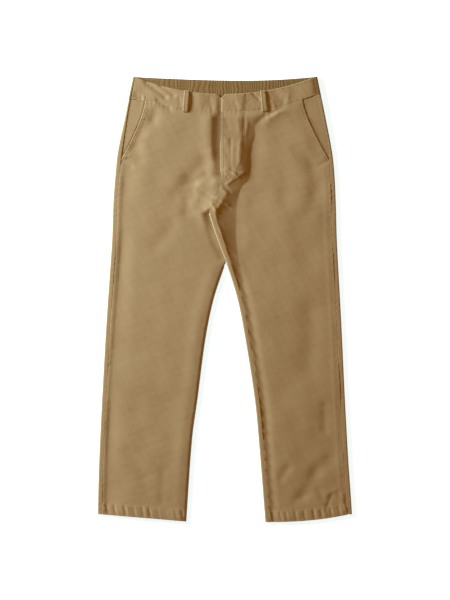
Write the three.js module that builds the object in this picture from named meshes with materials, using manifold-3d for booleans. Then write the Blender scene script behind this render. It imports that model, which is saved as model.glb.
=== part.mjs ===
// A pair of straight-leg cotton chino trousers, laid flat with the front up.
// Millimetres. +X is towards the wearer's left, +Y towards the waist, +Z up from the surface it lies on.
// The origin is on that surface, under the middle of the garment. "down" is the distance below the
// two top corners of the waist, and x is measured from the middle line. "right" and "left" are the
// wearer's, so the right leg lies at -X.
import * as THREE from 'three';
import { mergeVertices } from 'three/addons/utils/BufferGeometryUtils.js';
import Module from 'manifold-3d';

// Driving dimensions
const LENGTH = 1070; // waist corner to the lower corner of the hem
const WAIST_HALF = 218; // half the flat waist
const FRONT_DIP = 42; // how far the front of the waist falls below its corners
const BACK_DIP = 8.8; // the same for the back of the waist
const BACK_SKEW = 1.2; // how much deeper that dip is left of the middle
const WAIST_CURVE = 2.05; // power of the curve that both dips follow
const BAND_HEIGHT = 42;
const BAND_WIDENING = { right: 12, left: 2 }; // the ends of the band lie tilted, and show this much taller
const SEAM_INSET = 11; // the side seams and the left inseam lie this far in from the edge,
const SEAM_NEARER = { right: 6, left: 5 }; // but the side seams this much less at the hip
const FLY_X = -8.4; // centre front: the edge of the fly
const FLY_END = 244; // down to the foot of the fly
const FLY_WIDTH = 54; // edge to topstitching
const FLY_BULGE = 3.5; // how far the lower part of its edge bulges over the right front
const CROSS_DOWN = 328; // where the four leg panels meet
const FORK_DOWN = 445; // where the two legs part
const STRIP_START = 409; // down to here the left inseam lies over the right back,
const STRIP_FLAT = 428; // and from here they lie side by side
const PAST_SEAT = 9; // x where the left inseam's underside has come down past the right back
const FORK_X = 2.4;
const HEM_DEPTH = 24;
const HEM_INSIDE = 93; // from the middle line to the inner corner of each hem
const HEM_WIDTH = 214;
const HEM_OUTSIDE = HEM_INSIDE + HEM_WIDTH;
const HEM_RISE = { right: 18, left: 20.5 }; // how much higher its outer corner lies
const HEM_BEND = 2.4; // power of the curve that the left hem follows
const RIGHT_LEG_SHORTER = 1.5;
const KNEE_DOWN = 720;
const POCKET_END = 200;
const POCKET_CURVE = 1.35;
const POCKET_UNDER = 16; // how far the pocket facing runs on under the front
const POCKET_BELOW = 14; // and on below the foot of the pocket
const SEAT_SEAM_X = 1.2;
const FLY_SHIELD_WIDTH = 44;
const FLY_SHIELD_BEFORE = 8; // how far it starts before the edge of the fly

// Cloth
const CLOTH = 1.3; // twill
const HEM_FOLD = 0.9; // the turned-up layer at a hem
const BAND_CLOTH = 2.2; // two layers of twill and their stiffening
const LOOP_CLOTH = 1.2;
const FACING_CLOTH = 1; // behind the fly
const FACING_LOWEST = 3.2; // upper surface of the pocket facings, clear of the backs
const GAP = 0.3; // between pieces at a seam
const LAYER_GAP = 0.5; // between pieces that lie on each other

// Heights of the upper surface over the floor
const WAIST_TOP = 8.6;
const EDGE_TOP = 5.8;
const WAIST_END_DROP = 0.6; // how much lower the ends of the band lie than its middle
const EDGE_FALL = { from: 60, to: 230 }; // down, where the upper surface falls from the waist's height
const SEAT_LIFT = LOOP_CLOTH + GAP; // the waist lies on its back belt loops,
const SEAT_FALL = { from: 62, to: 112 }; // and its underside comes down to the floor here

// Shaping of the fronts beside their seams
const BODY_RISE = 0.9;
const SIDE_VALLEY = { in: 11, width: 8, depth: 1.3 };
const SEAM_BLEND = 18; // the fronts leave the height of the band over this distance
const UNDERLAP_TOP = 4.9; // of the right front where the left one lies over it
const INSEAM_SWELL = { in: 20, width: 16, rise: 2 };
const CROTCH_CURVE = 1.3; // power of the curve of its rise to the crotch seam
const INSEAM_TOP = 4.2;
const INSEAM_ROUND = 9;
const INSEAM_VALLEY = { in: 11, width: 10, depth: 1.7, depthAtFork: 1.2 };
const STRIP_RISE = 0.6; // of the inseam strip over the flat edges
const STRIP_LEAN = 0.5; // how much of its lift it loses towards its edge
const BAND_OVERLAP_RISE = 1.4; // of the left end of the band, which lies on the right one
const LEFT_LOWEST = 3.6;

// Gathers of the elastic in the back of the band
const GATHER_SPAN = { from: -198, to: 200 };
const GATHER_COUNT = 34;
const GATHER_DEPTH = 0.6;
const GATHER_STEPS = 4; // columns for each gather

// Puckers along each hem
const PUCKER_COUNT = 9;
const PUCKER_DEPTH = 0.8;

// Belt loops
const LOOP_WIDTH = 12.5;
const LOOP_BELOW = 7; // runs on below the band
const LOOP_ARCH = 1.8; // stands off the band in the middle

const table = (columns, rows) =>
  rows.map((row) => Object.fromEntries(columns.map((name, i) => [name, row[i]])));

// Outline of the two sides: distance from the middle line
const SIDE = table(
  ['down', 'right', 'left'],
  [
    [0, 220.5, 221.5],
    [34, 228, 228.5],
    [92, 240, 240.5],
    [178, 258, 257],
    [226, 263.5, 262.5],
    [298, 269, 266.2],
    [394, 272.5, 269],
    [586, 285.5, 279.3],
    [778, 296.3, 288.5],
    [922, 303, 296.5],
    [1000, 305.3, 302],
    [LENGTH, 306.3, 306.5],
  ],
);

// Outline of the inside of each leg below the fork: distance from the middle line
const INSIDE = table(
  ['down', 'right', 'left'],
  [
    [FORK_DOWN, -FORK_X, FORK_X],
    [535, 27.3, 29.8],
    [631, 47, 48.6],
    [775, 66, 71],
    [871, 79, 80.5],
    [LENGTH, 93, 96.6],
  ],
);

// The front crotch seam, and the strip of the left back that shows beside it down to the fork
const CROTCH = table(
  ['down', 'x'],
  [
    [FLY_END, FLY_X],
    [287, -21.6],
    [CROSS_DOWN, -39.6],
  ],
);
const STRIP = table(
  ['down', 'near', 'far'],
  [
    [CROSS_DOWN, -39.6, -33],
    [340, -35.6, -26],
    [371, -25.7, -14],
    [407, -12.7, 0.5],
    [FORK_DOWN, FORK_X, FORK_X + SEAM_INSET],
  ],
);

// The left front stands up at the fly and at the inseam strip, and rolls down from there into a hollow
// with a fold at its end. x where it starts to fall, x of the fold, how far it falls, and how high it starts.
const HOLLOW = table(
  ['down', 'start', 'fold', 'depth', 'raised'],
  [
    [69, 60, 139, 3, 3],
    [92, 34, 104, 3.6, 3.4],
    [113, 34, 75, 5, 3.6],
    [165, 35, 66, 6.8, 3.6],
    [209, 38, 63, 7.2, 3.6],
    [230, 32, 61, 6.8, 3.4],
    [248, 14, 56, 6.2, 3],
    [264, 4, 41, 5.6, 2.8],
    [281, 0, 34, 6.8, 3.2],
    [308, -10, 28, 9.4, 5.5],
    [328, -22, 27, 10, 6.5],
    [363, -13, 26, 10, 6.3],
    [400, -1, 27, 8.4, 5],
    [FORK_DOWN, 12, 34, 5, 3],
    [500, 25, 46, 2, 1.2],
    [560, 40, 62, 0, 0],
  ],
);
const HOLLOW_CURVE = 1.4; // power of the curve of its roll
const HOLLOW_REACH = 78; // how far beyond the fold the hip slopes to it

// Folds of the fronts: soft ridges (rise over 0) and troughs, each round a line from one end to the other
const FOLDS = table(
  ['x', 'down', 'endX', 'endDown', 'width', 'rise'],
  [
    // right hip, from the band to the foot of the pocket
    [-168, 88, -172, 106, 9, -1.9],
    [-176, 104, -200, 130, 11, -1.4],
    [-203, 138, -213, 166, 11, -1.2],
    [-213, 172, -203, 196, 10, -1.4],
    [-232, 150, -243, 190, 9, 0.9],
    [-160, 122, -186, 190, 15, 1.2],
    // right of the fly, where the cloth falls to its edge
    [-42, 104, -40, 172, 16, 4.2],
    [-36, 178, -38, 222, 13, 1.8],
    // over the hollow beside the fly
    [140, 84, 98, 112, 12, 1],
    [96, 150, 92, 240, 20, 0.9],
    // drag lines from the crotch into the right thigh
    [-84, 215, -130, 275, 12, -1.9],
    [-54, 228, -82, 250, 8, -1.4],
    [-98, 268, -104, 330, 12, -1.4],
    [-50, 262, -84, 300, 14, 1.9],
    [-52, 318, -36, 392, 11, -1.5],
    [-152, 372, -176, 410, 16, -0.9],
    // left hip, over the pocket bag
    [176, 172, 210, 215, 12, -1.3],
    [210, 215, 218, 275, 12, -1.4],
    [218, 275, 200, 330, 13, -1.2],
    [145, 228, 145, 300, 18, -1.1],
    // lower legs
    [-235, 902, -192, 958, 14, -1.2],
    [-148, 950, -152, 1020, 10, -0.9],
    [251, 924, 219, 954, 12, -1.8],
    [219, 954, 191, 1012, 12, -1.7],
    [191, 1012, 170, 1024, 10, -1.2],
    [152, 942, 136, 964, 9, -1.3],
    [208, 560, 200, 700, 26, -1.4],
    // the front of the band
    [-193, 16, -157, 47, 6, -2.1],
    [-138, 29, -114, 58, 6, -1.5],
    [-66, 44, -60, 70, 12, 1],
    [30, 48, 34, 78, 12, 1.2],
    [122, 38, 140, 62, 9, -0.9],
  ],
);

const { clamp, lerp, smoothstep } = THREE.MathUtils;
const bump = (distance, width) => Math.exp(-((distance / width) ** 2));
// Smooth steps up and down between two values
const begin = (value, from, to) => smoothstep(value, from, to);
const end = (value, from, to) => 1 - smoothstep(value, from, to);

// A smooth line through one column of a table, at any distance down.
function along(rows, column) {
  const slope = (i) => {
    const before = rows[Math.max(i - 1, 0)];
    const after = rows[Math.min(i + 1, rows.length - 1)];
    return (after[column] - before[column]) / (after.down - before.down);
  };
  return (down) => {
    let i = 0;
    while (i < rows.length - 2 && rows[i + 1].down <= down) i += 1;
    const step = rows[i + 1].down - rows[i].down;
    const t = clamp((down - rows[i].down) / step, 0, 1);
    const fromLast = (1 + 2 * t) * (1 - t) ** 2 * rows[i][column] + t * (1 - t) ** 2 * step * slope(i);
    const toNext = t * t * (3 - 2 * t) * rows[i + 1][column] - t * t * (1 - t) * step * slope(i + 1);
    return fromLast + toNext;
  };
}

const side = { right: along(SIDE, 'right'), left: along(SIDE, 'left') };
const inside = { right: along(INSIDE, 'right'), left: along(INSIDE, 'left') };
const crotch = along(CROTCH, 'x');
const stripNear = along(STRIP, 'near');
const stripFar = along(STRIP, 'far');
const hollow = {
  start: along(HOLLOW, 'start'),
  fold: along(HOLLOW, 'fold'),
  depth: along(HOLLOW, 'depth'),
};
const raised = along(HOLLOW, 'raised');
const SIGN = { right: -1, left: 1 };

// Curves of the waist, as distances down at x
const waistCurve = (x) => Math.min(Math.abs(x) / WAIST_HALF, 1) ** WAIST_CURVE;
const frontTop = (x) => FRONT_DIP * (1 - waistCurve(x));
const backTop = (x) =>
  BACK_DIP * (1 - waistCurve(x)) + BACK_SKEW * Math.sin(Math.PI * clamp(x / WAIST_HALF, -1, 1));
const bandWidening = (x) => (x < 0 ? BAND_WIDENING.right : BAND_WIDENING.left);
const bandHeight = (x) => BAND_HEIGHT + bandWidening(x) * waistCurve(x);
const backBandHeight = (x) => BAND_HEIGHT + bandWidening(x) * waistCurve(x) ** 4;
const frontSeam = (x) => frontTop(x) + bandHeight(x);
const backSeam = (x) => backTop(x) + backBandHeight(x);
// Round the folded side edge the band goes over from its back curve to its front curve. "upward" is the
// facing of the cloth, from 1 on the upper side to -1 on the underside.
function bandDown(x, upward, share) {
  const front = (upward + 1) / 2;
  const height = lerp(backBandHeight(x), bandHeight(x), front);
  return lerp(backTop(x), frontTop(x), front) + share * height;
}

// Hems fall towards the inside of each leg
const HEM = {
  right: (x) => LENGTH - RIGHT_LEG_SHORTER - HEM_RISE.right * ((-x - HEM_INSIDE) / HEM_WIDTH),
  left: (x) => LENGTH - HEM_RISE.left * Math.max((x - HEM_INSIDE) / HEM_WIDTH, 0) ** HEM_BEND,
};

// Slanted edge of each pocket, and the side seam below it
const POCKET_START = { right: 192, left: 186.5 };
function seamInset(leg, down) {
  const nearer = leg === 'right' ? end(down, 60, 190) : bump(down - 150, 50);
  return SEAM_INSET - SEAM_NEARER[leg] * nearer;
}
const sideSeam = (leg, down) => side[leg](down) - seamInset(leg, down);
function pocketEdge(leg, down) {
  const start = POCKET_START[leg];
  const from = frontSeam(SIGN[leg] * start);
  const share = clamp((down - from) / (POCKET_END - from), 0, 1);
  return lerp(start, sideSeam(leg, POCKET_END), share ** POCKET_CURVE);
}

// x of the edge of each front towards the middle
function innerEdge(leg, down) {
  const bulge = leg === 'left' ? FLY_BULGE * begin(down, 138, 166) * end(down, 222, FLY_END) : 0;
  if (down < FLY_END) return FLY_X - bulge;
  if (down < CROSS_DOWN) return crotch(down);
  if (down < FORK_DOWN) return leg === 'right' ? stripNear(down) : stripFar(down);
  return SIGN[leg] * inside[leg](down) + (leg === 'left' ? SEAM_INSET : 0);
}

function distanceToFold(fold, x, down) {
  const [alongX, alongDown] = [fold.endX - fold.x, fold.endDown - fold.down];
  const share = ((x - fold.x) * alongX + (down - fold.down) * alongDown) / (alongX ** 2 + alongDown ** 2);
  const t = clamp(share, 0, 1);
  return Math.hypot(x - fold.x - t * alongX, down - fold.down - t * alongDown);
}
const folds = (x, down) =>
  FOLDS.reduce((sum, fold) => sum + fold.rise * bump(distanceToFold(fold, x, down), fold.width), 0);

// Height of the upper surface at the rounded side edges
const edgeTop = (down) =>
  lerp(WAIST_TOP - WAIST_END_DROP, EDGE_TOP, begin(down, EDGE_FALL.from, EDGE_FALL.to));
// Height of the underside: the waist is carried by the back belt loops, and the rest lies on the floor
const underside = (down) => SEAT_LIFT * end(down, SEAT_FALL.from, SEAT_FALL.to);

// Height that the roll of the left front adds, from its raised start to beyond the fold
function intoHollow(x, down) {
  const [start, fold, depth] = [hollow.start(down), hollow.fold(down), hollow.depth(down)];
  const share = clamp((x - start) / (fold - start), 0, 1);
  return x < fold
    ? raised(down) - depth * share ** HOLLOW_CURVE
    : (raised(down) - depth) * bump(x - fold, HOLLOW_REACH);
}

// Shapes the right front beside its inner edge: up to the crotch seam, under the fly and the inseam
// strip, and below the fork a roll down to the folded inseam
function rightInner(z, down, fromInner) {
  const swell = INSEAM_SWELL.rise * bump(fromInner - INSEAM_SWELL.in, INSEAM_SWELL.width);
  const swollen = z + swell * begin(down, FORK_DOWN - 25, FORK_DOWN + 35);
  const crotchRise = raised(down) * end(fromInner, 0, 44) ** CROTCH_CURVE;
  const beside = begin(down, FLY_END - 10, FLY_END + 14) * end(down, CROSS_DOWN, CROSS_DOWN + 60);
  const shaped = swollen + crotchRise * beside;
  const underFly = end(down, FLY_END - 20, FLY_END + 10) * end(fromInner, 3, 23);
  const aboveFork = end(down, FORK_DOWN - 15, FORK_DOWN + 5);
  const underStrip = begin(down, CROSS_DOWN - 14, CROSS_DOWN + 6) * aboveFork * end(fromInner, 0, 22);
  const tucked = lerp(lerp(shaped, Math.min(shaped, UNDERLAP_TOP), underFly), UNDERLAP_TOP, underStrip);
  const round = 1 - Math.sqrt(1 - (1 - Math.min(fromInner / INSEAM_ROUND, 1)) ** 2);
  return lerp(tucked, INSEAM_TOP, round * (1 - aboveFork));
}

// The same for the left front: the hollow, and below the fork a valley beside the inseam
function leftInner(z, x, down, fromInner) {
  const depth = lerp(INSEAM_VALLEY.depthAtFork, INSEAM_VALLEY.depth, begin(down, FORK_DOWN, 560));
  const valley = depth * bump(fromInner - INSEAM_VALLEY.in, INSEAM_VALLEY.width);
  const below = begin(down, FORK_DOWN - 40, FORK_DOWN + 40);
  return Math.max(z - valley * below + intoHollow(x, down), LEFT_LOWEST);
}

// Height of the upper surface of the band. The right piece dips under the left one.
function bandTop(x, down) {
  const overlap = x >= FLY_X ? BAND_OVERLAP_RISE * end(x - FLY_X, 20, 90) : 0;
  return WAIST_TOP - WAIST_END_DROP * waistCurve(x) ** 4 + overlap + folds(x, down);
}
function bandLevel(leg, x, down) {
  const under = leg === 'right' ? begin(x, FLY_X - 14, FLY_X - 1) : 0;
  return lerp(bandTop(x, down), UNDERLAP_TOP + CLOTH + LAYER_GAP, under);
}

// Height of the upper surface of the fronts
function frontHeight(leg, x, down) {
  const fromSide = Math.abs(SIGN[leg] * x - sideSeam(leg, down));
  const fromInner = Math.abs(x - innerEdge(leg, down));
  const valley = SIDE_VALLEY.depth * bump(fromSide - SIDE_VALLEY.in, SIDE_VALLEY.width);
  const body =
    edgeTop(down) + BODY_RISE * begin(fromSide, 14, 60) - valley * begin(down, 190, 260) + folds(x, down);
  const z = leg === 'right' ? rightInner(body, down, fromInner) : leftInner(body, x, down, fromInner);

  const hem = HEM[leg](x);
  const share = (SIGN[leg] * x - HEM_INSIDE) / HEM_WIDTH;
  const wave = Math.cos(2 * Math.PI * (PUCKER_COUNT * share + 0.35 * Math.sin(11 * share)));
  const pucker = PUCKER_DEPTH * wave * (0.7 + 0.3 * Math.sin(23 * share));
  const hemmed = z + begin(down, hem - HEM_DEPTH - 14, hem - HEM_DEPTH + 6) * (HEM_FOLD / 2 + pucker);
  const seam = frontSeam(x);
  return lerp(bandLevel(leg, x, seam), hemmed, begin(down, seam, seam + SEAM_BLEND));
}

const point = (x, down, z) => new THREE.Vector3(x, LENGTH / 2 - down, z);

// A closed wall between two grids of points. Seen from over the first grid, its columns run to the right
// and its rows run down.
function wall(first, second) {
  const [rows, columns] = [first.length, first[0].length];
  const positions = [...first.flat(), ...second.flat()].flatMap((p) => [p.x, p.y, p.z]);
  const index = [];
  const id = (row, column, back) => row * columns + column + (back ? rows * columns : 0);
  const quad = (a, b, c, d) => index.push(a, b, c, a, c, d);
  for (let r = 0; r < rows - 1; r += 1) {
    for (let c = 0; c < columns - 1; c += 1) {
      quad(id(r, c), id(r + 1, c), id(r + 1, c + 1), id(r, c + 1));
      quad(id(r, c, true), id(r, c + 1, true), id(r + 1, c + 1, true), id(r + 1, c, true));
    }
    quad(id(r, 0), id(r, 0, true), id(r + 1, 0, true), id(r + 1, 0));
    quad(id(r, columns - 1), id(r + 1, columns - 1), id(r + 1, columns - 1, true), id(r, columns - 1, true));
  }
  for (let c = 0; c < columns - 1; c += 1) {
    quad(id(0, c), id(0, c + 1), id(0, c + 1, true), id(0, c, true));
    quad(id(rows - 1, c), id(rows - 1, c, true), id(rows - 1, c + 1, true), id(rows - 1, c + 1));
  }
  const geometry = new THREE.BufferGeometry();
  geometry.setAttribute('position', new THREE.Float32BufferAttribute(positions, 3));
  geometry.setIndex(index);
  geometry.computeVertexNormals();
  return geometry;
}

// The underside of a grid of upper points, so that the wall is as thick as asked, square to its slope.
function below(grid, thickness) {
  const at = (r, c) => grid[clamp(r, 0, grid.length - 1)][clamp(c, 0, grid[0].length - 1)];
  return grid.map((row, r) =>
    row.map((p, c) => {
      const across = at(r, c + 1).clone().sub(at(r, c - 1));
      const down = at(r + 1, c).clone().sub(at(r - 1, c));
      const normal = down.cross(across).normalize();
      return p.clone().setZ(p.z - thickness(r, c) / Math.max(normal.z, 0.7));
    }),
  );
}

const lowered = (grid, drop) => grid.map((row) => row.map((p) => p.clone().setZ(p.z - drop)));

const steps = (from, to, count) => Array.from({ length: count }, (_, i) => lerp(from, to, i / count));
// Shares from 0 to 1, closer together at both ends
const shares = (count) =>
  Array.from({ length: count + 1 }, (_, i) => i / count - 0.07 * Math.sin((2 * Math.PI * i) / count));

// Rows of a leg panel between its top and bottom edges. Between the foot of the pocket and the hem they
// are level, and above and below they fan out to the curves of the waist and the hem.
const LEVELS = [
  ...steps(POCKET_END, FLY_END, 2),
  ...steps(FLY_END, CROSS_DOWN, 4),
  ...steps(CROSS_DOWN, CROSS_DOWN + 24, 2),
  CROSS_DOWN + 24,
  STRIP_START - 27,
  STRIP_START,
  STRIP_FLAT,
  ...steps(FORK_DOWN, 540, 3),
  ...steps(540, KNEE_DOWN, 3),
  ...steps(KNEE_DOWN, 1000, 5),
  1000,
  1020,
];
const WAIST_ROWS = 6;
const HEM_ROWS = 3;
function levelsBetween(top, hem) {
  const last = LEVELS[LEVELS.length - 1];
  return [...steps(top, POCKET_END, WAIST_ROWS), ...LEVELS, ...steps(last, hem, HEM_ROWS).slice(1), hem];
}

const FRONT_COLUMNS = { right: 20, left: 28 };

// Upper points of a front, from the pocket and side seam to the middle
function frontGrid(leg) {
  const sign = SIGN[leg];
  const outerX = (down) => sign * (down < POCKET_END ? pocketEdge(leg, down) : sideSeam(leg, down) - GAP);
  const innerX = (down) => innerEdge(leg, down) + (sign * GAP) / 2;
  const columns = shares(FRONT_COLUMNS[leg]).map((share) => {
    const startX = lerp(sign * POCKET_START[leg], innerX(0), share);
    const endX = lerp(outerX(LENGTH), innerX(LENGTH), share);
    return levelsBetween(frontSeam(startX) + GAP, HEM[leg](endX)).map((down) => {
      const x = lerp(outerX(down), innerX(down), share);
      return point(x, down, frontHeight(leg, x, down));
    });
  });
  if (sign > 0) columns.reverse();
  return columns[0].map((_, row) => columns.map((column) => column[row]));
}

const isHem = (grid, row) => row >= grid.length - HEM_ROWS;
const hemThickness = (grid) => (row) => CLOTH + (isHem(grid, row) ? HEM_FOLD : 0);

function frontPanel(leg) {
  const grid = frontGrid(leg);
  return wall(grid, below(grid, hemThickness(grid)));
}

// One cloth section that goes from a seam on the upper side, round a folded edge, and in along the
// underside. Each point is how far it lies in from the edge, its height, and its facing.
const ARC_STEPS = 5;
function foldedSection(top, bottom, thickness, inset, under) {
  const radius = (top - bottom - thickness) / 2;
  const centre = (top + bottom) / 2;
  const points = [
    { in: inset, z: top - thickness / 2, nx: 0, nz: 1 },
    { in: (inset + radius + thickness / 2) / 2, z: top - thickness / 2, nx: 0, nz: 1 },
  ];
  for (let i = 0; i <= ARC_STEPS; i += 1) {
    const angle = Math.PI / 2 - (Math.PI * i) / ARC_STEPS;
    const [nx, nz] = [Math.cos(angle), Math.sin(angle)];
    points.push({ in: radius + thickness / 2 - radius * nx, z: centre + radius * nz, nx, nz });
  }
  under.forEach((distance) => points.push({ in: distance, z: bottom + thickness / 2, nx: 0, nz: -1 }));
  return points;
}

// The wall through rows of such sections. place(row, point) gives x and down.
function foldedWall(sections, thickness, sign, place) {
  const skin = (offset) =>
    sections.map((section, row) =>
      section.map((p) => {
        const { x, down } = place(row, p);
        return point(x + sign * p.nx * offset, down, p.z + p.nz * offset);
      }),
    );
  const [outer, inner] = [skin(thickness / 2), skin(-thickness / 2)];
  return sign > 0 ? wall(outer, inner) : wall(inner, outer);
}

const BACK_COLUMNS = 4;

// x of the edge of each back towards the middle, on the underside
function backInnerEdge(leg, down) {
  const seat = SEAT_SEAM_X + (SIGN[leg] * GAP) / 2;
  if (leg === 'left') {
    if (down < STRIP_FLAT) return seat;
    return lerp(seat, inside.left(down) + 6, smoothstep(down, STRIP_FLAT, FORK_DOWN));
  }
  return down < FORK_DOWN
    ? lerp(seat, stripNear(down) - GAP, smoothstep(down, STRIP_START - 27, STRIP_START))
    : -inside.right(down) - GAP;
}

// A back with its side edge folded over to the side seam
function backPanel(leg) {
  const sign = SIGN[leg];
  const edgeX = sign * side[leg](0);
  const rowsFrom = (top, hemX) => levelsBetween(top + GAP, HEM[leg](hemX));
  const edgeRows = rowsFrom(frontSeam(edgeX), sign * HEM_OUTSIDE);
  const places = edgeRows.map((down) => ({
    inset: seamInset(leg, down),
    width: side[leg](down) - sign * backInnerEdge(leg, down),
    top: edgeTop(down),
    bottom: underside(down),
  }));
  const sections = places.map(({ inset, width, top, bottom }) => {
    const under = steps((top - bottom) / 2, width, BACK_COLUMNS).slice(1).concat(width);
    return foldedSection(top, bottom, CLOTH, inset, under);
  });
  const underFrom = 2 + ARC_STEPS + 1;
  return foldedWall(sections, CLOTH, sign, (row, p) => {
    const { inset, width } = places[row];
    if (sections[row].indexOf(p) < underFrom) {
      const seamX = sign * (side[leg](edgeRows[0]) - p.in);
      const down = rowsFrom(bandDown(seamX, p.nz, 1), sign * HEM_OUTSIDE)[row];
      const moved = p.in === inset ? seamInset(leg, down) : p.in;
      return { x: sign * (side[leg](down) - moved), down };
    }
    const share = p.in / width;
    const topX = lerp(edgeX, SEAT_SEAM_X, share);
    const down = rowsFrom(backSeam(topX), sign * lerp(HEM_OUTSIDE, HEM_INSIDE, share))[row];
    return { x: lerp(sign * side[leg](down), backInnerEdge(leg, down), share), down };
  });
}

// The inner edge of the left back, folded over to the inseam. From the fork up it lies on the right back.
function inseamFold() {
  const levels = levelsBetween(0, HEM.left(95)).filter((down) => down > CROSS_DOWN + 1);
  levels.unshift(CROSS_DOWN + 3);
  const edge = (down) => (down < FORK_DOWN ? stripNear(down) : inside.left(down));
  const seam = (down) => (down < FORK_DOWN ? stripFar(down) : inside.left(down) + SEAM_INSET);
  const sections = levels.map((down) => {
    const bottom = (CLOTH + GAP) * end(down, STRIP_START, STRIP_FLAT);
    const top = EDGE_TOP + STRIP_RISE + raised(down) * end(down, FORK_DOWN, 540);
    const lean = STRIP_LEAN * raised(down);
    const flatFrom = Math.max(PAST_SEAT - edge(down), 12);
    const inset = seam(down) - edge(down) - GAP / 2;
    const under = [Math.max(3.5 - edge(down), 7), flatFrom, flatFrom + 8];
    const section = foldedSection(top - lean, bottom, CLOTH, inset, under);
    section[0].z += lean;
    section[1].z += lean / 2;
    section.slice(-2).forEach((p) => Object.assign(p, { z: CLOTH / 2 }));
    return section;
  });
  return foldedWall(sections, CLOTH, -1, (row, p) => ({ x: edge(levels[row]) + p.in, down: levels[row] }));
}

const manifold = await Module();
manifold.setup();

function joined(...geometries) {
  const solids = geometries.map((geometry) => {
    const plain = geometry.clone();
    plain.deleteAttribute('normal');
    const merged = mergeVertices(plain);
    return new manifold.Manifold(
      new manifold.Mesh({
        numProp: 3,
        vertProperties: merged.attributes.position.array,
        triVerts: new Uint32Array(merged.index.array),
      }),
    );
  });
  const mesh = solids.reduce((sum, solid) => sum.add(solid)).getMesh();
  const geometry = new THREE.BufferGeometry();
  geometry.setAttribute('position', new THREE.BufferAttribute(mesh.vertProperties, 3));
  geometry.setIndex(new THREE.BufferAttribute(mesh.triVerts, 1));
  geometry.computeVertexNormals();
  return geometry;
}

// The back of the waistband, seen from inside over the dip of the front. Its ends fold over to the side
// seams, and elastic gathers the upper face between them.
const BACK_BAND_ROWS = 2;
function backBand() {
  const { from, to } = GATHER_SPAN;
  const gathered = steps(from, to, GATHER_COUNT * GATHER_STEPS).concat(to);
  const gather = (x) => {
    const share = (x - from) / (to - from);
    const fade = begin(share, 0, 0.16) * end(share, 0.84, 1);
    const wave = Math.sin(2 * Math.PI * (GATHER_COUNT * share + 0.5 * Math.sin(9 * share)));
    return GATHER_DEPTH * fade * wave * (0.75 + 0.25 * Math.sin(31 * share));
  };
  const bottom = SEAT_LIFT;
  const foldedEnd = (leg, share) =>
    foldedSection(edgeTop(0), bottom, BAND_CLOTH, seamInset(leg, 0), []).map((p) => {
      const edgeDown = share * frontSeam(SIGN[leg] * side[leg](0));
      const down = bandDown(SIGN[leg] * (side[leg](edgeDown) - p.in), p.nz, share);
      const x = SIGN[leg] * (side[leg](down) - p.in);
      return { x, down, z: p.z, nx: SIGN[leg] * p.nx, nz: p.nz };
    });
  const rows = [];
  for (let row = 0; row <= BACK_BAND_ROWS; row += 1) {
    const share = row / BACK_BAND_ROWS;
    const middle = gathered.map((x) => {
      const leg = x < 0 ? 'right' : 'left';
      const down = backTop(x) + share * backBandHeight(x);
      const wider = side[leg](down) / side[leg](0);
      return { x: x * wider, down, z: bottom + BAND_CLOTH / 2, lift: gather(x), nx: 0, nz: -1 };
    });
    rows.push([...foldedEnd('right', share), ...middle, ...foldedEnd('left', share).reverse()]);
  }
  const skin = (offset) =>
    rows.map((row) =>
      row.map((p) => {
        const lift = offset < 0 ? (p.lift ?? 0) : 0;
        return point(p.x + p.nx * offset, p.down, p.z + p.nz * offset + lift);
      }),
    );
  return wall(skin(-BAND_CLOTH / 2), skin(BAND_CLOTH / 2));
}

// The two front pieces of the waistband. The right one runs on under the left to carry the fastening.
const BAND_ROWS = 4;
const BAND_UNDERLAP = 30;
const NOTCH = { width: 9, depth: 9 };
function frontBand(leg) {
  const sign = SIGN[leg];
  const sideX = (share) => sign * (sideSeam(leg, share * BAND_HEIGHT) - GAP);
  const count = 22;
  const lap = [1.5, 5, BAND_UNDERLAP];
  const stations = shares(count).map((share) => ({ share, lap: 0 }));
  if (leg === 'right') lap.forEach((distance) => stations.push({ share: 1, lap: distance }));
  const rows = [];
  for (let row = 0; row <= BAND_ROWS; row += 1) {
    const share = row / BAND_ROWS;
    rows.push(
      stations.map((station) => {
        const middle = FLY_X + (sign * GAP) / 2;
        const x = lerp(sideX(share), middle, station.share) + station.lap;
        const notch = NOTCH.depth * Math.max(1 - Math.abs(x - FLY_X) / NOTCH.width, 0) * (1 - share);
        const down = frontTop(x) + notch + share * (bandHeight(x) - GAP / 2);
        return point(x, down, bandLevel(leg, x, down));
      }),
    );
  }
  if (sign > 0) rows.forEach((row) => row.reverse());
  const thickness = (row, column) => (leg === 'right' && column > count - 3 ? CLOTH + 0.2 : BAND_CLOTH);
  return wall(rows, below(rows, thickness));
}

// The facing sewn under the edge of the fly, from the points of the left front, moved in
function flyFacing() {
  const grid = frontGrid('left');
  const rows = grid.filter((row) => row[0].y > LENGTH / 2 - FLY_END + 8);
  const columns = grid[0].findIndex((p) => p.x > FLY_X + FLY_WIDTH);
  const drop = CLOTH + LAYER_GAP;
  const upper = below(rows, () => drop).map((row) => row.slice(0, columns));
  upper.forEach((row) => (row[0].x += 0.6));
  return wall(upper, lowered(upper, FACING_CLOTH));
}

// The underlap behind the fly, sewn to the right front
function flyShield() {
  const from = frontSeam(FLY_X) + 4;
  const rows = [...steps(from, FLY_END - 30, 5), FLY_END - 30, FLY_END - 12, FLY_END - 2].map((down) => {
    const cut = smoothstep(down, FLY_END - 50, FLY_END) * 0.7;
    const start = FLY_X - FLY_SHIELD_BEFORE;
    const stop = start + FLY_SHIELD_WIDTH * (1 - cut);
    const z = underside(down) + CLOTH + GAP + FACING_CLOTH;
    return steps(start, stop, 4).concat(stop).map((x) => point(x, down, z));
  });
  return wall(rows, lowered(rows, FACING_CLOTH));
}

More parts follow.
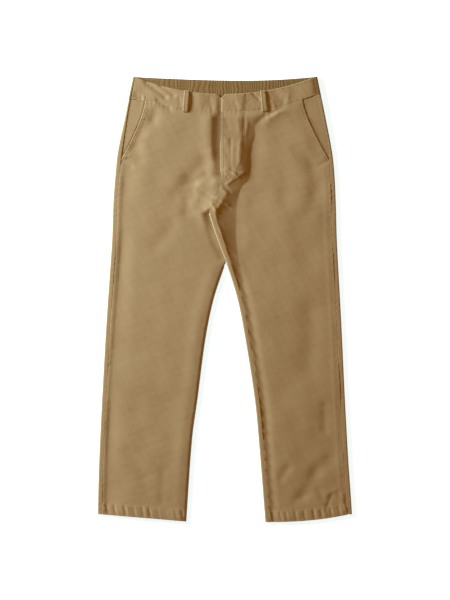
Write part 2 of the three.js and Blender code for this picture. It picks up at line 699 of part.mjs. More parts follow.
// The piece of hip that shows beyond the slanted pocket edge, and runs on under the front
function pocketFacing(leg) {
  const sign = SIGN[leg];
  const under = CLOTH + LAYER_GAP;
  const outerTop = sideSeam(leg, frontSeam(sign * side[leg](0)));
  const grid = [...steps(0, 1, 10), 1].map((rowShare) =>
    [0, 0.25, 0.5, 0.75, 0.9, 1].map((share) => {
      const topX = lerp(outerTop, POCKET_START[leg] - POCKET_UNDER, share);
      const down = lerp(frontSeam(sign * topX) + GAP, POCKET_END + POCKET_BELOW, rowShare);
      const outer = sideSeam(leg, down) - GAP;
      const inner = Math.min(pocketEdge(leg, down) - POCKET_UNDER, outer - 6);
      const x = sign * lerp(outer, inner, share);
      const hidden = smoothstep(share, 0, 0.5);
      const z = Math.max(frontHeight(leg, x, down) - under - 0.4 * hidden, FACING_LOWEST);
      return point(x, down, Math.min(z, edgeTop(down) - 1.2 * begin(down, POCKET_END - 30, POCKET_END)));
    }),
  );
  if (sign > 0) grid.forEach((row) => row.reverse());
  return wall(grid, below(grid, () => CLOTH));
}

// A front belt loop: flat at both ends, and arched over the band between them
function frontLoop(x, lean) {
  const [from, to] = [frontTop(x) - 1, frontSeam(x) + LOOP_BELOW];
  const count = 8;
  const grid = Array.from({ length: count + 1 }, (_, i) => {
    const share = i / count;
    const down = lerp(from, to, share);
    const middle = x + lean * (share - 0.5);
    const leg = x < 0 ? 'right' : 'left';
    const arch = LOOP_ARCH * Math.sin(Math.PI * share) ** 0.6;
    const clear = LOOP_CLOTH + LAYER_GAP + 0.4;
    const offsets = [-0.5, 0, 0.5].map((side) => side * LOOP_WIDTH);
    const heights = offsets.map((offset) =>
      Math.max(bandTop(middle + offset, down), frontHeight(leg, middle + offset, down)),
    );
    const z = Math.max(...heights) + clear + arch;
    return offsets.map((offset) => point(middle + offset, down, z - 0.2 * Math.abs(offset / LOOP_WIDTH)));
  });
  return wall(grid, lowered(grid, LOOP_CLOTH));
}

// A back belt loop, which the garment lies on
function backLoop(x) {
  const [from, to] = [backTop(x) + 1, backSeam(x) - 1];
  const grid = [from, (from + to) / 2, to].map((down) =>
    [-0.5, 0, 0.5].map((side) => point(x + side * LOOP_WIDTH, down, LOOP_CLOTH)),
  );
  return wall(grid, lowered(grid, LOOP_CLOTH));
}

const twill = new THREE.MeshStandardMaterial({ color: 0xa38961, roughness: 0.92, metalness: 0 });
const insideTwill = new THREE.MeshStandardMaterial({ color: 0x8f7246, roughness: 0.94, metalness: 0 });

const pieces = {
  front_right: [frontPanel('right'), twill],
  front_left: [frontPanel('left'), twill],
  back_right: [backPanel('right'), twill],
  back_left: [joined(backPanel('left'), inseamFold()), twill],
  waistband_back: [backBand(), insideTwill],
  waistband_front_right: [frontBand('right'), twill],
  waistband_front_left: [frontBand('left'), twill],
  fly_facing: [flyFacing(), twill],
  fly_shield: [flyShield(), twill],
  pocket_facing_right: [pocketFacing('right'), twill],
  pocket_facing_left: [pocketFacing('left'), twill],
  belt_loop_front_right: [frontLoop(-93.5, -4), twill],
  belt_loop_front_left: [frontLoop(93, 5), twill],
  belt_loop_back_right: [backLoop(-132), twill],
  belt_loop_back_middle: [backLoop(0), twill],
  belt_loop_back_left: [backLoop(132), twill],
};

const trousers = new THREE.Group();
for (const [name, [geometry, material]] of Object.entries(pieces)) {
  const mesh = new THREE.Mesh(geometry, material);
  mesh.name = name;
  trousers.add(mesh);
}
// The origin goes under the middle of the box round the garment.
const box = new THREE.Box3().setFromObject(trousers, true);
const middle = box.getCenter(new THREE.Vector3());
trousers.position.set(-middle.x, -middle.y, -box.min.z);
trousers.updateMatrixWorld(true);

export default trousers;
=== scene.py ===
"""Cotton chino trousers that lie flat with the front up, dressed round their CAD frame.

Lengths in the tables and functions are millimetres, as a pattern maker writes them. x runs from the
middle line to the wearer's left, down from the waist corners to the hem, and z up from the table that
the trousers lie on. Right and left are the wearer's. Meshes are made in metres.
"""

import math

import bmesh
import bpy
import numpy as np
from bpy.props import FloatProperty, FloatVectorProperty, PointerProperty
from bpy.types import Operator, Panel, PropertyGroup
from mathutils import Euler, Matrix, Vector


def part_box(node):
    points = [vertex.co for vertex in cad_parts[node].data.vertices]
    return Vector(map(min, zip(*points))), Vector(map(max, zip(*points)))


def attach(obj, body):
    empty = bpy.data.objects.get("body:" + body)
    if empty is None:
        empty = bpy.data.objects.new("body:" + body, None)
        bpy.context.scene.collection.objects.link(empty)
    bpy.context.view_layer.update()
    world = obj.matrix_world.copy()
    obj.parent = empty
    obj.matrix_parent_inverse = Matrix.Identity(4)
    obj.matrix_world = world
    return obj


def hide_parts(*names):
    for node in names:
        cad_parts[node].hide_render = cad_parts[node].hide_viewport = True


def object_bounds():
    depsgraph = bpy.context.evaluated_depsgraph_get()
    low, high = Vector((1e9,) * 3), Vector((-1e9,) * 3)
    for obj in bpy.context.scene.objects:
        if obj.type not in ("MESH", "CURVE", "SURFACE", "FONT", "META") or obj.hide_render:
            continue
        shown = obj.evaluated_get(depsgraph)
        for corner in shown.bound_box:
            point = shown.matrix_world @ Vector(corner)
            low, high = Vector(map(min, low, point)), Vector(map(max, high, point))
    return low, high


bl_info = {
    "name": "Chino Trousers Laid Flat",
    "version": (1, 0, 0),
    "blender": (4, 5, 0),
    "location": "View3D > Sidebar > Chinos",
    "description": "Makes cotton chino trousers that lie flat, with their seams, folds and stitching",
    "category": "Add Mesh",
}

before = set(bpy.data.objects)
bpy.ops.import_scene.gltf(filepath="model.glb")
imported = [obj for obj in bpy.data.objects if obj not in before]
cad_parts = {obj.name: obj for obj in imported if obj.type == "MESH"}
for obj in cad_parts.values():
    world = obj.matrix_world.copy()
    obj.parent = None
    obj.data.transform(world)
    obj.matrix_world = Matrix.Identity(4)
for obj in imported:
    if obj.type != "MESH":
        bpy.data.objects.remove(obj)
CAD_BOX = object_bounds()

MM = 0.001
LOW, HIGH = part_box("belt_loop_back_middle")
MIDDLE_X = (LOW.x + HIGH.x) / 2 / MM  # the middle line in the frame
LENGTH = (CAD_BOX[1].y - CAD_BOX[0].y) / MM

# Waist
WAIST_HALF = 218.0
FRONT_DIP, BACK_DIP, WAIST_CURVE = 42.0, 8.8, 2.05
BACK_SKEW = 1.2  # the dip of the back is deepest left of the middle
BAND_HEIGHT = 42.0
BAND_WIDENING = {"right": 12.0, "left": 2.0}

# Seams and openings
SEAM_INSET = 11.0  # of the side seams and the left inseam from the edge,
SEAM_NEARER = {"right": 6.0, "left": 5.0}  # but the side seams this much less at the hip
FLY_X, FLY_END, FLY_WIDTH = -8.4, 244.0, 54.0
CROSS_DOWN, FORK_DOWN, FORK_X = 328.0, 445.0, 2.4
STRIP_START, STRIP_FLAT = 409.0, 428.0
POCKET_START = {"right": 192.0, "left": 186.5}
POCKET_END, POCKET_CURVE, POCKET_UNDER = 200.0, 1.35, 16.0
HEM_DEPTH, HEM_INSIDE, HEM_WIDTH = 24.0, 93.0, 214.0
HEM_RISE, HEM_CURVE = {"right": 18.0, "left": 20.5}, {"right": 1, "left": 2.4}
HEM_OUTSIDE, HEM_SIDE = HEM_INSIDE + HEM_WIDTH, 300.0  # its edge, and the side where the rows end
LEG_SHORTER = {"right": 1.5, "left": 0.0}
SEAT_SEAM_X = 1.2
INSEAM_INSET = 3.0  # of the right leg, whose inseam lies almost on the edge

# Cloth
CLOTH, HEM_FOLD, BAND_CLOTH, LOOP_CLOTH = 1.3, 0.9, 2.2, 1.2
GAP, LAYER_GAP = 0.3, 0.5
SEAM_ROUND = 0.5  # how far a seamed edge turns down
FOLD_ROUND = 1.3  # the same for a folded edge
BAND_SEAM_ROUND = 0.25  # the same for the seam under the front of the band, which lies flat

# Heights over the table
WAIST_TOP, WAIST_SIDE_DROP, EDGE_TOP = 8.6, 0.6, 5.8
SEAT_LIFT = LOOP_CLOTH + GAP
SIDE_FALL, SEAT_FALL = (60.0, 230.0), (62.0, 112.0)  # where the sides and the underside come down
UNDERLAP_TOP = 4.9
RIGHT_INSEAM_TOP = 5.2
STRIP_ROUND = 3.0  # how far in the edge of the inseam strip turns at most
FLY_ROUND = (0.4, 0.9)  # how far the upper and the lower part of its edge turn down
FLY_LOWER = (138.0, 166.0)  # where the upper part of that edge passes into the lower one
FLY_BULGE, FLY_DROP = 3.5, 1.3  # how far the lower part bulges over the right front, and falls to it
FLY_BULGE_END = 222.0  # where it draws in again to the foot of the fly
FLY_RAISED, FLY_STITCH_DEPTH = 0.5, 0.3  # rise of the cloth inside the topstitching, and depth of that
POCKET_OPEN = {"right": 0.1, "left": 0.6}  # how far each pocket edge lifts
LEG_RISE, LEG_SLOPE = 0.9, (14.0, 60.0)  # of the middle of a leg above its sides, and where from the seam
ROLL_START = (190.0, 260.0)  # where the ridge and valley along a side seam begin
BAND_BLEND = 18.0  # how far below the band a front is as high as that
LEFT_LOWEST = 3.2
# Valley along each side seam: how far in it lies, and its width towards the seam and away from it
SIDE_VALLEY = {"right": (15.0, 7.0, 19.0), "left": (56.0, 26.0, 30.0)}
SIDE_VALLEY_DEPTH = {"right": 1.2, "left": 0.8}
SIDE_RIDGE = {"right": (4.0, 0.35), "left": (13.0, 0.3)}  # how far in it lies, and its rise

# Belt loops
LOOP_WIDTH, LOOP_BELOW, LOOP_ARCH = 12.5, 7.0, 1.8
FRONT_LOOPS = {"right": (-93.5, -4.0), "left": (93.0, 5.0)}
BACK_LOOPS = {"right": -132.0, "middle": 0.0, "left": 132.0}

SIGN = {"right": -1, "left": 1}

# Outline: down, then the distance from the middle line on the right and on the left
SIDE = [
    (0, 220.5, 221.5),
    (34, 228, 228.5),
    (92, 240, 240.5),
    (178, 258, 257),
    (226, 263.5, 262.5),
    (298, 269, 266.2),
    (394, 272.5, 269),
    (586, 285.5, 279.3),
    (778, 296.3, 288.5),
    (922, 303, 296.5),
    (1000, 305.3, 302),
    (LENGTH, 306.3, 306.5),
]
INSIDE = [
    (FORK_DOWN, -FORK_X, FORK_X),
    (535, 27.3, 29.8),
    (631, 47, 48.6),
    (775, 66, 71),
    (871, 79, 80.5),
    (LENGTH, 93, 96.6),
]
CROTCH = [(FLY_END, FLY_X), (287, -21.6), (CROSS_DOWN, -39.6)]
# Inseam strip above the fork: down, edge, seam
STRIP = [
    (CROSS_DOWN, -39.6, -33),
    (340, -35.6, -26),
    (371, -25.7, -14),
    (407, -12.7, 0.5),
    (FORK_DOWN, FORK_X, FORK_X + SEAM_INSET),
]

# The left front rolls down from the fly and the inseam strip into a hollow, and the hip lies over its end.
# Down, x where it starts to fall, x of the fold at the end, how far it falls, and how high it starts.
HOLLOW = [
    (69, 60, 139, 3.0, 3.0),
    (92, 34, 104, 3.6, 3.4),
    (113, 34, 75, 5.0, 3.6),
    (143, 35, 72, 6.2, 3.6),
    (165, 35, 66, 6.8, 3.6),
    (187, 36, 62, 7.0, 3.6),
    (209, 38, 63, 7.2, 3.6),
    (230, 32, 61, 6.8, 3.4),
    (248, 14, 56, 6.2, 3.0),
    (264, 4, 41, 5.6, 2.8),
    (281, 0, 34, 6.8, 3.2),
    (308, -10, 28, 9.4, 5.5),
    (328, -22, 27, 10.0, 6.5),
    (363, -13, 26, 10.0, 6.3),
    (400, -1, 27, 8.4, 5.0),
    (FORK_DOWN, 12, 34, 5.0, 3.0),
    (500, 25, 46, 2.0, 1.2),
    (560, 40, 62, 0, 0),
]

# Folds of the fronts: x, down, end x, end down, width, rise. A trough has a rise under 0.
LARGE_FOLDS = [
    # right hip, from the band to the foot of the pocket
    (-168, 88, -172, 106, 12, -1.1),
    (-176, 104, -200, 130, 14, -1.0),
    (-203, 138, -213, 166, 14, -0.9),
    (-213, 172, -203, 196, 13, -0.9),
    (-232, 150, -243, 190, 9, 0.4),
    # right of the fly, where the cloth falls to its edge
    (-40, 104, -38, 180, 18, 2.2),
    (-31, 186, -30, 228, 12, 1.4),
    # over the hollow beside the fly
    (104, 84, 84, 104, 9, -1.0),
    (140, 84, 98, 112, 12, 1.0),
    (96, 150, 92, 240, 20, 0.9),
    (46, 300, 52, 400, 18, 0.9),
    # drag lines from the crotch into the right thigh
    (-50, 204, -88, 248, 16, -1.4),
    (-88, 248, -116, 284, 17, -1.3),
    (-46, 236, -70, 252, 9, -1.1),
    (-76, 252, -76, 284, 12, -1.2),
    (-92, 284, -92, 328, 13, -1.2),
    (-62, 276, -66, 306, 16, 1.0),
    (-52, 322, -18, 402, 13, -1.5),
    (-124, 354, -163, 408, 18, -1.1),
    # left hip, over the pocket bag
    (176, 172, 210, 215, 16, -0.9),
    (210, 215, 218, 275, 18, -0.9),
    (218, 275, 200, 330, 18, -0.8),
    (145, 228, 145, 300, 20, -0.9),
    # lower legs
    (-235, 902, -192, 958, 16, -1.0),
    (-148, 950, -152, 1020, 11, -0.7),
    (251, 920, 219, 948, 16, -1.1),
    (219, 948, 188, 1006, 17, -1.2),
    (188, 1006, 168, 1020, 12, -1.0),
    (226, 992, 236, 1012, 9, -0.8),
    (152, 938, 134, 966, 11, -1.2),
    (239, 790, 240, 848, 10, -0.8),
    (208, 560, 200, 700, 26, -1.4),
    # front of the band
    (-188, 14, -143, 48, 6.5, -2.1),
    (-153, 22, -124, 44, 6, -1.7),
    (-66, 44, -60, 70, 12, 1.0),
    (30, 48, 34, 78, 12, 1.2),
    (122, 38, 140, 62, 9, -0.9),
    (213, 6, 222, 46, 6, -1.2),
]
SMALL_FOLDS = [
    # foot of the fly and crotch seam
    (45, 231, 5, 258, 3.6, 1.4),
    (3, 221, 25, 234, 2.6, 1.0),
    (25, 234, 15, 246, 2.6, 0.8),
    (18, 172, 17, 212, 3.5, 0.5),
    (14, 150, 15, 226, 3, -0.7),
    (22, 232, 36, 246, 3, 0.7),
    (-1, 226, 12, 240, 3, 0.8),
    (-24, 252, -27, 258, 9, 1.0),
    (-8, 268, 5, 281, 3.2, 1.3),
    (0, 264, 12, 276, 3.5, -0.9),
    (-20, 291, 8, 308, 3.2, 1.4),
    (-16, 300, 8, 317, 4, -0.9),
    (-31, 307, -19, 325, 3, 1.2),
    (-25, 316, -20, 338, 2.8, 1.1),
    (-38, 308, -60, 296, 5, -0.8),
    (-36, 288, -62, 272, 5, -0.9),
    (-44, 322, -34, 334, 3.5, 0.9),
    # fly, crumpled over its facing
    (-4, 140, 4, 156, 5, 0.5),
    (3, 108, 8, 124, 5, -0.5),
    (0, 176, 8, 196, 5, -0.6),
    (30, 104, 34, 128, 5, 0.5),
    (36, 158, 33, 206, 4, 0.7),
    (44, 100, 46, 120, 4, -0.5),
    (54, 112, 50, 140, 4, 0.7),
    # right end of the band and top of its pocket
    (-162, 58, -133, 75, 5, -1.6),
    (-154, 76, -138, 82, 6, 0.9),
    (-202, 50, -195, 60, 4, -0.9),
    (-196, 48, -194, 62, 3, 0.8),
    (-192, 60, -172, 61, 3, -0.9),
    (-190, 63, -176, 74, 3.5, 0.7),
    (-212, 44, -206, 64, 6, -0.7),
    # band beside the fly and the left belt loop
    (67, 41, 82, 55, 3.5, -1.2),
    (24, 60, 30, 84, 4, -0.5),
    (44, 44, 40, 76, 5, 0.6),
    (-36, 52, -30, 82, 5, -0.5),
    (112, 60, 126, 84, 5, 0.7),
    (100, 74, 96, 92, 4, -0.7),
    (152, 44, 150, 66, 5, 0.6),
    (-110, 50, -104, 80, 5, -0.5),
    # foot of each pocket
    (-247, 203, -225, 216, 5, -0.8),
    (-246, 196, -228, 190, 4, 0.6),
    (248, 203, 226, 214, 5, -0.7),
    # shoulder of the roll beside the fly
    (134, 76, 108, 90, 4.5, -1.2),
    (134, 84, 104, 102, 5, 0.9),
    # crumpled corner of the left hem
    (288, 1018, 300, 1048, 4, -1.3),
    (282, 1004, 290, 1040, 5, 0.9),
    (294, 1006, 303, 1022, 3.5, -1.0),
    (256, 1004, 245, 1036, 6, -1.0),
    (266, 992, 240, 1008, 6, 0.7),
]
# Unevenness of the legs and of the band: share, width of the swells, seed
LEG_SWELLS = [(2.2, 150, 12), (1, 62, 3), (0.4, 22, 5), (0.16, 8, 13)]
BAND_SWELLS = [(1, 40, 8), (0.5, 15, 9), (0.3, 8, 14)]
SEAM_WAVE, BAND_SEAM_WAVE, BAND_EDGE_WAVE = 0.16, 0.04, 0.1
# Creases of the underside, which lift off the table
BACK_FOLDS = [
    (-60, 120, -150, 240, 16, 1.2),
    (55, 118, 140, 250, 15, 1.1),
    (-30, 250, -95, 330, 14, 1.3),
    (40, 262, 100, 345, 14, 1.2),
    (-120, 360, -190, 420, 16, 1.0),
    (110, 380, 180, 430, 15, 1.0),
    (-150, 640, -240, 700, 18, 0.9),
    (140, 655, 230, 705, 17, 0.9),
    (-130, 930, -210, 985, 14, 0.9),
    (150, 940, 240, 1000, 14, 1.0),
]
# Puckers of the hems: x, and depth as a share of the deepest
PUCKERS = {
    "right": [
        (-282, 0.8), (-264, 1.0), (-239, 0.8), (-217, 0.6), (-196.5, 0.8), (-180, 0.9), (-160, 0.4),
        (-139, 0.3), (-118, 0.5), (-101, 0.7),
    ],
    "left": [
        (102, 0.9), (115, 0.8), (133.5, 0.7), (148, 0.6), (170.5, 0.7), (191.5, 0.6), (214, 0.8),
        (232, 0.7), (255.5, 0.9), (275, 0.7),
    ],
}
# Where the elastic gathers tightest: x, width, gathers for each millimetre
GATHER_CLUSTERS = [(-94, 12, 0.20), (-22, 12, 0.10), (12, 8, 0.10), (62, 20, 0.13), (128, 12, 0.08)]
GATHER_LOOSE = 0.09
GATHERS_FROM, GATHERS_TO = -198.0, 200.0

# Fly topstitching: straight down, then a quarter of an ellipse to the edge
FLY_STRAIGHT_END, FLY_STITCH_END = 170.0, 256.0

# Rows of stitches and bar tacks
FLY_ROWS = (0.0, 6.0)  # in from the topstitching line
FLY_EDGE_ROW = 3.0  # in from the edge of the fly
POCKET_ROWS = (3.0, 9.0)  # in from the edge of the pocket
POCKET_TACK_TOP, POCKET_TACK_FOOT = 102.0, POCKET_END - 6
HEM_ROW_START = HEM_INSIDE + 14
HEM_ROW_END = {"front": 294.0, "back": 296.0}
BAND_ROWS = (3.2, 3.0)  # in from the top and from the foot of the band
LOOP_ROWS = (-3.6, 3.6)  # from the middle of a belt loop
LOOP_TACK_IN, LOOP_TACK_LENGTH = 4.0, 10.0
ELASTIC_ROWS = [(0.12, 0.5), (0.5, 0.5), (0.88, 0.4)]  # place as a share of the band, and pinch

# Spacing of the meshes
EDGE_STEPS = np.array([0, 0.35, 0.9, 1.7, 2.8])
FLAP_STEPS, FLAP_WIDTH = (4.4, 6.2), 7.4  # the steps that follow where a back folds over its edge
FRONT_COLUMNS, BACK_COLUMNS, BAND_COLUMNS, GATHER_COLUMNS, ARC_COLUMNS = 92, 56, 104, 620, 12
BACK_BAND_LEVELS = 22
TURN_SHARES = (0.25, 0.5, 0.75)
INNER_COLUMNS = len(TURN_SHARES) + ARC_COLUMNS + 1 + len(EDGE_STEPS)
HIP_DOWN, SHIN_DOWN = 340.0, 1012.0
POCKET_LEVELS, HIP_LEVELS, LEG_LEVELS, CUFF_LEVELS = 48, 62, 178, 26
MERGE_DISTANCE, SHARP_ANGLE = 1e-6, math.radians(58)


def smooth(value, start, stop):
    """0 before start and 1 after stop, with a soft rise between them."""
    share = np.clip((value - start) / (stop - start), 0, 1)
    return share * share * (3 - 2 * share)


def fall(value, start, stop):
    """1 before start and 0 after stop."""
    return 1 - smooth(value, start, stop)


def bump(distance, width):
    """1 at no distance, fading to nothing at about twice the width."""
    return np.exp(-((distance / width) ** 2))


def mix(first, second, share):
    return first + (second - first) * share


def along(rows, column):
    """A smooth line through one column of a table, for any distance down."""
    table = np.array(rows, float)
    downs, values = table[:, 0], table[:, column]
    points = np.arange(len(table))
    before, after = np.maximum(points - 1, 0), np.minimum(points + 1, len(table) - 1)
    slopes = (values[after] - values[before]) / (downs[after] - downs[before])

    def line(down):
        down = np.asarray(down, float)
        i = np.clip(np.searchsorted(downs, down, side="right") - 1, 0, len(downs) - 2)
        step = downs[i + 1] - downs[i]
        t = np.clip((down - downs[i]) / step, 0, 1)
        start = (1 + 2 * t) * (1 - t) ** 2 * values[i] + t * (1 - t) ** 2 * step * slopes[i]
        return start + t * t * (3 - 2 * t) * values[i + 1] - t * t * (1 - t) * step * slopes[i + 1]

    return line


side = {"right": along(SIDE, 1), "left": along(SIDE, 2)}
inside = {"right": along(INSIDE, 1), "left": along(INSIDE, 2)}
crotch = along(CROTCH, 1)
strip_edge, strip_seam = along(STRIP, 1), along(STRIP, 2)
hollow_start, hollow_fold, hollow_depth, raised = (along(HOLLOW, column) for column in range(1, 5))


def unevenness(x, down, size, seed):
    """Soft relief of pressed cotton, from about -1 to 1, with swells about as wide as size."""
    waves = np.random.default_rng(seed)
    total = np.zeros(np.broadcast(x, down).shape)
    count = 14
    for _ in range(count):
        angle = waves.uniform(0, math.tau)
        length = size * waves.uniform(0.8, 2.2)
        start = waves.uniform(0, math.tau)
        total += np.sin((x * math.cos(angle) + down * math.sin(angle)) * math.tau / length + start)
    return total / math.sqrt(count)


def swells(rows, x, down):
    return sum(share * unevenness(x, down, size, seed) for share, size, seed in rows)


def waist_curve(x):
    """0 at the middle of the waist and 1 at its ends, which the dips and the band follow."""
    return np.minimum(np.abs(x) / WAIST_HALF, 1) ** WAIST_CURVE


def band_widening(x):
    return np.where(np.asarray(x) < 0, BAND_WIDENING["right"], BAND_WIDENING["left"])


def front_rim(x):
    return FRONT_DIP * (1 - waist_curve(x))


def back_rim(x):
    return BACK_DIP * (1 - waist_curve(x)) + BACK_SKEW * np.sin(math.pi * np.clip(x / WAIST_HALF, -1, 1))


def band_height(x):
    return BAND_HEIGHT + band_widening(x) * waist_curve(x)


def back_band_height(x):
    return BAND_HEIGHT + band_widening(x) * waist_curve(x) ** 4


def front_seam(x):
    return front_rim(x) + band_height(x)


def back_seam(x):
    return back_rim(x) + back_band_height(x)


def band_down(x, upward, share):
    """Down on the band where it turns over the folded edge: upward is 1 on top and -1 underneath."""
    front = (upward + 1) / 2
    return mix(back_rim(x), front_rim(x), front) + share * mix(back_band_height(x), band_height(x), front)


def hem(leg, x):
    """Down of the hem, which rises towards the side seam."""
    share = np.maximum((SIGN[leg] * x - HEM_INSIDE) / HEM_WIDTH, 0)
    return LENGTH - LEG_SHORTER[leg] - HEM_RISE[leg] * share ** HEM_CURVE[leg]


def seam_inset(leg, down):
    """How far a side seam lies in from the edge: near it at the hip, and well inside on the leg."""
    nearer = fall(down, 60, 190) if leg == "right" else bump(down - 150, 50)
    return SEAM_INSET - SEAM_NEARER[leg] * nearer


def side_seam(leg, down):
    return side[leg](down) - seam_inset(leg, down)


def pocket_edge(leg, down):
    """Distance of the slanted pocket edge from the middle line."""
    start = POCKET_START[leg]
    top = front_seam(SIGN[leg] * start)
    share = np.clip((down - top) / (POCKET_END - top), 0, 1)
    return mix(start, side_seam(leg, POCKET_END), share**POCKET_CURVE)


def inner_edge(leg, down):
    """x of the edge of a front towards the middle."""
    if leg == "right":
        tucked = INSEAM_INSET * smooth(down, FORK_DOWN, FORK_DOWN + 14)
        below_fork = -inside["right"](down) - tucked
        above_fork = strip_edge(down)
    else:
        below_fork = inside["left"](down) + SEAM_INSET
        above_fork = strip_seam(down)
    crossed = np.where(down < FORK_DOWN, above_fork, below_fork)
    bulge = 0
    if leg == "left":
        bulge = FLY_BULGE * smooth(down, *FLY_LOWER) * fall(down, FLY_BULGE_END, FLY_END)
    return np.where(down < FLY_END, FLY_X - bulge, np.where(down < CROSS_DOWN, crotch(down), crossed))


def fold_relief(rows, x, down):
    """Height that the folds of a table add, each a soft ridge or trough along its line."""
    total = 0
    for start_x, start, end_x, end, width, rise in rows:
        run_x, run = end_x - start_x, end - start
        share = np.clip(((x - start_x) * run_x + (down - start) * run) / (run_x**2 + run**2), 0, 1)
        distance = np.hypot(x - start_x - share * run_x, down - start - share * run)
        total = total + rise * bump(distance, width)
    return total


def edge_top(down):
    """Height of the upper surface at the folded sides."""
    return mix(WAIST_TOP - WAIST_SIDE_DROP, EDGE_TOP, smooth(down, *SIDE_FALL))


def underside(down):
    """Height of the lowest surface, which the back belt loops hold off the table at the waist."""
    return SEAT_LIFT * fall(down, *SEAT_FALL)


def edge_drop(distance, radius):
    """How far cloth has turned down at a distance in from its edge."""
    return radius - np.sqrt(np.maximum(radius**2 - (radius - np.minimum(distance, radius)) ** 2, 0))


def fly_stitch_x(down, inset=0.0):
    """x of the curved topstitching of the fly."""
    turn = np.clip((down - FLY_STRAIGHT_END) / (FLY_STITCH_END - inset - FLY_STRAIGHT_END), 0, 1)
    return FLY_X + (FLY_WIDTH - inset) * np.sqrt(1 - turn**2)


def into_hollow(x, down):
    """Height that the roll of the left front adds, from its raised start to beyond the fold of the hip."""
    start, fold, depth = hollow_start(down), hollow_fold(down), hollow_depth(down)
    share = np.clip((x - start) / (fold - start), 0, 1)
    curve = mix(1.4, 0.65, smooth(down, 265, 315))
    rolled = raised(down) - depth * share**curve
    return np.where(x > fold, (raised(down) - depth) * bump(x - fold, 78), rolled)


def right_inner(z, down, from_inner):
    """Shapes the right front beside its inner edge, which goes under the fly and the inseam strip."""
    swollen = z + 1.2 * bump(from_inner - 20, 18) * smooth(down, 420, 480)
    crotch_rise = raised(down) * smooth(down, FLY_END - 10, FLY_END + 14) * fall(from_inner, 0, 44) ** 1.3
    swollen = swollen + crotch_rise * fall(down, CROSS_DOWN, CROSS_DOWN + 60)
    reach = mix(20, 7, smooth(down, 170, 250))
    under_fly = fall(down, FLY_END - 14, FLY_END + 14) * fall(from_inner, reach - 18, reach + 7)
    crossed = smooth(down, CROSS_DOWN - 14, CROSS_DOWN + 6) * fall(down, 430, 450)
    under_strip = crossed * fall(from_inner, 0, 22)
    tucked = mix(mix(swollen, np.minimum(swollen, UNDERLAP_TOP), under_fly), UNDERLAP_TOP, under_strip)
    turned = 1 - np.sqrt(1 - (1 - np.minimum(from_inner / 5, 1)) ** 2)
    return mix(tucked, RIGHT_INSEAM_TOP, turned * smooth(down, 430, 450))


def left_inner(z, x, down, from_inner):
    """Shapes the left front: the fly stands up, and a hollow runs from it down beside the inseam strip."""
    above_end = fall(down, FLY_STITCH_END - 8, FLY_STITCH_END + 6)
    within_stitch = smooth(fly_stitch_x(down) - x, -9, 12) * above_end
    depth = smooth(down, FORK_DOWN - 40, FORK_DOWN + 40) * mix(1.2, 1.7, smooth(down, FORK_DOWN, 560))
    valley = depth * bump(from_inner - 11, 10)
    below_cross = smooth(down, CROSS_DOWN, CROSS_DOWN + 40)
    puckered = 0.5 * below_cross * bump(from_inner - 6, 8) * seam_tension(down, -1.6 * x, 29, 3)
    shaped = z + FLY_RAISED * within_stitch - valley + into_hollow(x, down) + puckered
    return np.maximum(shaped, LEFT_LOWEST)


def pucker(leg, x, down):
    """Puckers of the stitched hem, about 1 to -1, and how much of them a place has."""
    above = hem(leg, x) - down
    leaned = x + 0.22 * (above - HEM_DEPTH / 2)
    wave = 0.25 + 0.15 * np.sin(leaned / 3.4 + 2 * np.sin(leaned / 19))
    for at, depth in PUCKERS[leg]:
        wave = wave - 1.5 * depth * bump(leaned - at, 3.4) + 0.3 * depth * bump(leaned - at - 6.5, 4)
    return wave, fall(above, HEM_DEPTH - 4, HEM_DEPTH + 7) * mix(0.45, 1, smooth(above, 0, 12))


def seam_tension(down, x, size, seed):
    """Small puckers along a stitched seam."""
    return np.sin(math.tau * (down + 0.4 * x) / size + 2.2 * np.sin(down / (3.1 * size) + seed))


def side_roll(leg, from_side, down):
    """A low ridge along the side seam and then a valley, deeper in some places than in others."""
    ridge_in, ridge_rise = SIDE_RIDGE[leg]
    valley_in, outer_width, inner_width = SIDE_VALLEY[leg]
    if leg == "right":
        valley_in = valley_in - 4 * smooth(down, 400, 800)
    away = from_side - valley_in
    depth = SIDE_VALLEY_DEPTH[leg] * (0.72 + 0.2 * np.sin(down / 31) + 0.28 * np.sin(down / 67 + 1.2))
    valley = depth * bump(away, np.where(away < 0, outer_width, inner_width))
    return ridge_rise * bump(from_side - ridge_in, 5) - valley


def front_height(leg, x, down):
    """Height of the upper surface of a front."""
    cloth = bpy.context.scene.chino_cloth
    from_side = np.abs(SIGN[leg] * x - side_seam(leg, down))
    from_inner = np.abs(x - inner_edge(leg, down))
    rolled = side_roll(leg, from_side, down) * smooth(down, *ROLL_START)
    z = edge_top(down) + LEG_RISE * smooth(from_side, *LEG_SLOPE) + rolled
    z = z + fold_relief(LARGE_FOLDS, x, down) + fold_relief(SMALL_FOLDS, x, down)
    z = right_inner(z, down, from_inner) if leg == "right" else left_inner(z, x, down, from_inner)

    wave, hemmed = pucker(leg, x, down)
    z = z + hemmed * (HEM_FOLD / 2 + cloth.pucker_depth / MM * wave)
    z = z + cloth.relief / MM * swells(LEG_SWELLS, x, down)
    seams = bump(from_side, 7) * seam_tension(down, x, 15, 1)
    seams = seams + bump(from_inner, 6) * seam_tension(down, -x, 13, 2)
    below_band = down - front_seam(x)
    z = z + SEAM_WAVE * seams + BAND_SEAM_WAVE * bump(below_band, 9) * seam_tension(x, 0, 19, 4)
    z = mix(band_level(leg, x, front_seam(x)), z, smooth(below_band, 0, BAND_BLEND))
    if leg == "left":
        on_stitch = bump(x - fly_stitch_x(down), 2.6) * fall(down, FLY_STITCH_END - 8, FLY_STITCH_END)
        z = z - FLY_STITCH_DEPTH * on_stitch
    opening = bump(pocket_edge(leg, down) - SIGN[leg] * x, 9) * smooth(down, 92, 108)
    return z + POCKET_OPEN[leg] * opening * fall(down, POCKET_END - 12, POCKET_END)


